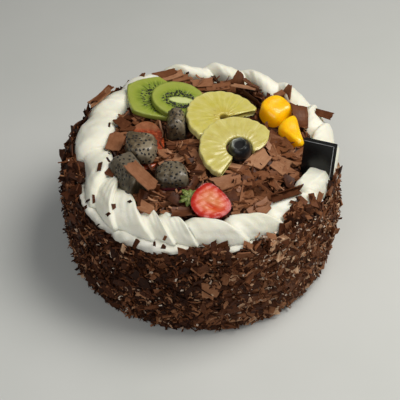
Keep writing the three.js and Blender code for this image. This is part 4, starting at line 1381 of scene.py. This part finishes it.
def add_dragonfruit(name, node, size, cuts, power, seeds, light, pink, pale, seed):
    """A block of dragon fruit with small black seeds.

    seeds is how many there are, and seed starts the random draws. pink holds the direction,
    the level along it where the flesh turns pink-purple, and how strongly. pale is the
    direction of painted light: the flesh is painted lighter towards the lit side.
    """
    random = np.random.default_rng(seed)
    points, faces, unit = chunk(size, cuts, power, 22)
    local = points + (0.45 * ripple(points, 8, seed) + 0.2 * ripple(points, 3, seed))[:, None] * unit
    middles = local[faces].mean(axis=1)
    chosen = []
    for i in random.permutation(len(faces)):
        if all(np.linalg.norm(middles[i] - middles[j]) > 2.5 for j in chosen):
            chosen.append(i)
    quads = faces[chosen[:seeds]]
    spots = local[quads].mean(axis=1)
    edges = local[quads[:, 1]] - local[quads[:, 0]]
    others = local[quads[:, 3]] - local[quads[:, 0]]
    normals = np.cross(edges, others)
    normals /= np.linalg.norm(normals, axis=1)[:, None] + 1e-9
    normals[(normals * spots).sum(axis=1) < 0] *= -1
    directions = random.normal(size=(len(quads), 3))
    black, black_faces = seeds_at(spots - normals * 0.05, normals, directions, 2.3, 1.6, 1.0,
                                  random)
    local_all, face_all, values = with_seeds(local, faces, black, black_faces)
    look = Look(name, **wet(0.34, 0.4, 0.2, 0.25, (0.3, 2.5, 2.0, 1.4)))
    place = look.attribute()
    streak = look.noise(look.stretch(place, (1, 1, 0.3)), 2.6, detail=3, distortion=0.3)
    level = look.plus(look.swing(look.noise(place, 7), 0.7), streak)
    # Painted light: lighter towards pale, the side that faces the key light.
    level = look.plus(level, look.steps(look.reach(place, pale), -8, 12, -0.12, 0.3))
    flesh = look.ramp(
        level,
        [(0.3, light * np.array([80, 66, 45])), (0.52, light * np.array([108, 92, 68])),
         (0.74, light * np.array([150, 136, 112]))],
    )
    towards, edge, strength = pink
    low = look.steps(look.reach(place, towards), edge, edge + 3)
    flesh = look.mix(look.times(low, strength), flesh, (128, 44, 62))
    shade = look.mix(look.value("seed"), flesh, (14, 11, 9))
    material = look.finish(shade, streak, depth=0.3)
    add_fruit(name, node, local_all, face_all, material, "dragonfruit_flesh", values)


# How far the half strawberry's cut face reaches from its middle, by direction.
STRAWBERRY_OUTLINE = [
    (-180, 14), (-150, 15.4), (-120, 15.5), (-90, 14.5), (-60, 14.4), (-30, 15.2), (0, 16.2),
    (30, 13.2), (60, 11.7), (90, 13.2), (115, 16.2), (130, 15.4), (150, 13.9), (180, 14),
]


def add_strawberry():
    """Half a strawberry with its cut face up: peach heart, hollow streak and seeded rim."""
    depth = 11
    ball, faces = quad_ball(30)
    face = ball[:, 2] > 0
    turn = np.degrees(np.arctan2(ball[:, 1], ball[:, 0]))
    table = np.array(STRAWBERRY_OUTLINE, float)
    spread = np.linspace(-12, 12, 7)
    outline = np.interp(folded(turn[:, None] + spread), table[:, 0], table[:, 1]).mean(axis=1)
    x, y = ball[:, 0] * outline, ball[:, 1] * outline
    z = np.where(face, 0, ball[:, 2] * depth)
    reach = np.hypot(ball[:, 0], ball[:, 1])
    crown = np.where(face, 0.5 * smooth(1.0, 0.75, reach), 0)
    hollow = np.exp(-(((x - 3) / 6.5) ** 2 + ((y + 4.3 + 0.12 * (x - 3)) / 1.7) ** 2))
    local = np.stack([x, y, z + crown - np.where(face, 1.1 * hollow, 0)], axis=1)
    local[:, 2] += np.where(face, 0.18 * ripple(local * [1, 1, 0], 3.5, 5), 0)
    look = Look("strawberry", **wet(0.35, 0.35, 0.12, 0.2, (0.15, 3, 1.2, 0.7)))
    place = look.attribute()
    rim = look.value("rim")
    vector = look.flat_vector(look.value("around"), rim)
    rays = look.noise(look.stretch(vector, (9, 0.7, 1)), 1.0, detail=3, distortion=0.3)
    strokes = look.noise(look.stretch(place, (0.09, 0.5, 0.5)), 1.0, detail=3, distortion=0.4)
    veins = look.times(look.plus(rays, strokes), 0.5)
    level = look.plus(rim, look.swing(veins, 0.35))
    heart = look.ramp(
        level,
        [
            (0.0, (216, 132, 84)), (0.45, (214, 112, 66)),
            (0.68, (208, 76, 40)), (0.86, (190, 40, 20)),
            (1.0, (160, 18, 10)),
        ],
    )
    pale = look.times(look.steps(strokes, 0.52, 0.62), look.steps(rim, 0.85, 0.5))
    heart = look.mix(look.times(pale, 0.28), heart, (240, 176, 130))
    heart = look.mix(look.value("hollow"), heart, (206, 68, 14))
    pits = look.steps(look.cells(place, 2.4), 0.3, 0.16)
    skin = look.mix(pits, (172, 22, 20), (214, 150, 84))
    shade = look.mix(look.value("skin"), heart, skin)
    material = look.finish(shade, veins, depth=0.25)
    values = {
        "rim": np.where(face, reach, 1.0),
        "around": np.abs(np.arctan2(y, x)),
        "hollow": np.where(face, np.clip(hollow * 1.3, 0, 1), 0),
        "skin": np.where(face, 0, smooth(0, 0.1, -ball[:, 2])),
    }
    add_fruit("strawberry", "strawberry_half", local, faces, material, "strawberry_flesh", values)


def add_strawberry_slice():
    radii, heights = slice_profile(4, 0.12, 18)
    points, faces = revolved(radii, heights, 80)
    local = points * [15, 26.5, 1]
    local[:, 2] += 0.3 * smooth(-1, 0, points[:, 2]) * ripple(local, 4, 8)
    look = Look("strawberry_slice", **wet(0.22, 0.5, 0.4, 0.12, (0.3, 4, 1.6, 1.0)))
    place = look.attribute()
    spots = look.noise(place, 2.6, detail=4)
    moist = look.ramp(
        spots,
        [(0.3, (112, 44, 20)), (0.55, (168, 66, 28)), (0.72, (222, 122, 76))],
    )
    calm = look.cloudy(place, 6, (132, 76, 44), (176, 112, 76))
    far = look.plus(look.along(place, "Y"), look.times(look.noise(place, 5), 8))
    shade = look.mix(look.steps(far, 17, 23), moist, calm)
    material = look.finish(shade, spots, depth=0.4)
    add_fruit("strawberry_slice_piece", "strawberry_slice", local, faces, material,
              "strawberry_flesh")


def add_calyx():
    """Thin, toothed, wavy leaves round the strawberry's stalk end."""
    nu, nv, thickness = 16, 6, 0.5
    random = np.random.default_rng(17)
    points, faces, values = [], [], []
    for i in range(7):
        length = random.uniform(7.5, 10.5)
        u = np.linspace(0, 1, nu + 1)[:, None]
        v = np.linspace(-1, 1, nv + 1)[None, :]
        width = 0.35 + 1.9 * np.sin(math.pi * np.clip(0.12 + 0.85 * u, 0, 1))
        width = width * (1 + 0.16 * np.sin(u * 40))
        lift = 1.2 * np.sin(u * random.uniform(3.2, 4.6) + random.uniform(-0.5, 0.5))
        x, y = u * length + 0 * v, v * width
        z = lift - 0.25 * np.abs(v) ** 1.5 * width + 0 * y
        layers = [np.stack([x, y, z + side * thickness / 2], axis=2) for side in (1, -1)]
        turn, _ = placing((0, 0, 0), (0, 0, 40 * i - 100 + random.uniform(-8, 8)))
        leaf = np.stack(layers).reshape(-1, 3) @ turn.T
        faces.append(flake_faces((nu, nv)) + sum(len(p) for p in points))
        points.append(leaf)
        values.append(np.broadcast_to(np.abs(v), (2, nu + 1, nv + 1)).ravel())
    look = Look("leaves", Roughness=0.5, Specular_IOR_Level=0.4, **soft(0.2, 1, 1.5, 0.5))
    place = look.attribute()
    shade = look.ramp(
        look.noise(place, 2.0),
        [(0.3, (48, 62, 16)), (0.55, (96, 112, 40)), (0.78, (170, 168, 100))],
    )
    vein = look.steps(look.value("across"), 0.16, 0.04)
    shade = look.mix(look.times(vein, 0.6), shade, (170, 176, 110))
    material = look.finish(shade, look.noise(place, 0.8), depth=0.15)
    add_fruit("leaves", "strawberry_calyx", np.vstack(points), np.vstack(faces), material,
              "strawberry_leaf", {"across": np.concatenate(values)})


def rounded_card(width, height, thickness, corner, bevel):
    """A card with rounded corners and bevelled edges; its lower left corner is the origin."""
    outline = []
    for cx, cz, start in ((width, 0, -90), (width, height, 0), (0, height, 90), (0, 0, 180)):
        x = cx - math.copysign(corner, cx - width / 2)
        z = cz - math.copysign(corner, cz - height / 2)
        for turn in np.radians(np.linspace(start, start + 90, 5)):
            outline.append([x + corner * math.cos(turn), z + corner * math.sin(turn)])
    outline = np.array(outline)
    middle = np.array([width / 2, height / 2])
    inner = outline - bevel * (outline - middle) / np.abs(outline - middle).max(axis=1)[:, None]
    half = thickness / 2
    layers = [(inner, -half), (outline, -half + bevel), (outline, half - bevel), (inner, half)]
    points = np.concatenate(
        [np.stack([o[:, 0], np.full(len(o), y), o[:, 1]], axis=1) for o, y in layers]
    )
    count = len(outline)
    faces = grid_faces(4, count, wrap_columns=True).tolist()
    faces.append(list(range(count))[::-1])
    faces.append([3 * count + i for i in range(count)])
    return points, faces


def add_plaque():
    """A bare black card with a thin silver line inset along its top and right edges."""
    width, height, thickness = 25.5, 33, 1.2
    points, faces = rounded_card(width, height, thickness, 0.8, 0.2)
    look = Look("plaque", Roughness=0.22, Specular_IOR_Level=0.35)
    place = look.attribute()
    shade = look.cloudy(place, 14, (9, 9, 10), (16, 16, 17))
    material = look.finish(shade, look.noise(place, 1.0), depth=0.03)
    add_fruit("plaque_card", "plaque", points, faces, material, "plaque_black", flat=True)
    inset, line, proud, sunk = 2.2, 0.45, 0.08, 0.2
    front = -thickness / 2
    bars = [
        (0.2, width - inset, height - inset - line, height - inset),
        (width - inset - line, width - inset, 0.6, height - inset),
    ]
    line_points, line_faces = [], []
    for left, right, low, high in bars:
        corners = [(left, low), (right, low), (right, high), (left, high)]
        start = len(line_points)
        line_points += [(x, front - proud, z) for x, z in corners]
        line_points += [(x, front + sunk, z) for x, z in corners]
        line_faces.append([start + i for i in (0, 1, 2, 3)])
        line_faces.append([start + i for i in (7, 6, 5, 4)])
        for i in range(4):
            j = (i + 1) % 4
            line_faces.append([start + i, start + 4 + i, start + 4 + j, start + j])
    silver = Look("plaque_line", Roughness=0.35, Metallic=0.8)
    shine = silver.cloudy(silver.attribute(), 5, (160, 162, 168), (205, 206, 210))
    add_fruit("plaque_line", "plaque", np.array(line_points), line_faces, silver.finish(shine),
              "plaque_black", flat=True)


# Dragon fruit: letter, size, cuts, power, number of seeds, lightness, where and how strongly
# it is pink, and the direction of its painted light: see add_dragonfruit and chunk.
DRAGONFRUIT = [
    ("a", (25, 24, 13.4), [(-90, 45, 9.5), (-145, 15, 10.5), (15, 40, 11.5), (-35, 25, 12.5)],
     8, 90, 0.93, ((0, 0, -1), 4.5, 0.2), (0.75, -0.45, 0.2)),
    ("b", (20, 37, 17), [(180, 28, 7.2), (90, 30, 16)],
     11, 125, 0.72, ((0, 1, 0), 14, 0.4), (0.3, 0.2, 0.95)),
    ("c", (26, 20, 13.6), [(-90, 42, 9.2), (20, 30, 12.2), (160, 35, 11)],
     8, 90, 0.78, ((0, 0, -1), 1.5, 0.85), (0.3, 0.3, 0.8)),
    ("d", (14.5, 19, 21.5), [(-90, 55, 10.8), (180, 45, 9.2), (0, 35, 9)],
     8, 85, 0.85, ((0, 0, -1), 7, 0.3), (0.9, 0.1, 0.3)),
]


def add_toppings():
    add_kiwi("kiwi_back", "kiwi_slice_back", size=(50, 51, 5), core=(5, 10), core_at=(6, -1),
             ring=0.5, seed_count=150, seed=81, facets=0.65)
    add_kiwi("kiwi_front", "kiwi_slice_front", size=(45, 40, 5), core=(10.5, 3.4),
             core_at=(2.5, -2), ring=0.42, seed_count=170, seed=82, facets=0)
    add_pineapple("pineapple_back", "pineapple_ring_back", outer=31, inner=3.5, thickness=6.5,
                  outer_span=(24, 232), inner_span=(24, 232), seed=83, deep=(196, 184, 74),
                  heart=(190, 168, 56), spotted=0.8)
    add_pineapple("pineapple_front", "pineapple_ring_front", outer=31.5, inner=10.2,
                  thickness=6.5, outer_span=(35, 241), inner_span=(-12, 243), seed=84,
                  deep=(192, 176, 84), heart=(206, 192, 118), spotted=0.0)
    add_mango("mango_back", "mango_chunk_back", size=(29.5, 27, 16), power=5.5, seed=85,
              cuts=[(-140, 10, 11.5), (140, 5, 12), (-45, 15, 11.5), (45, 5, 13), (-90, 50, 10)])
    add_mango("mango_front", "mango_chunk_front", size=(18, 31, 12), power=8, seed=86,
              cuts=[(-147, 5, 5.6), (122, 5, 10.2), (0, 45, 8.5), (180, 50, 7)])
    add_berry()
    add_strawberry()
    add_strawberry_slice()
    add_calyx()
    for number, (letter, *shape) in enumerate(DRAGONFRUIT, start=1):
        add_dragonfruit("dragonfruit_" + letter, f"dragonfruit_{number}", *shape, seed=90 + number)
    add_plaque()


# ------------------------------------------------------------------ the scene

add_camera()
add_surroundings()
skin = Skin([add_coat(), add_border()])
add_side(skin)
add_bed()
add_toppings()

bpy.context.view_layer.update()
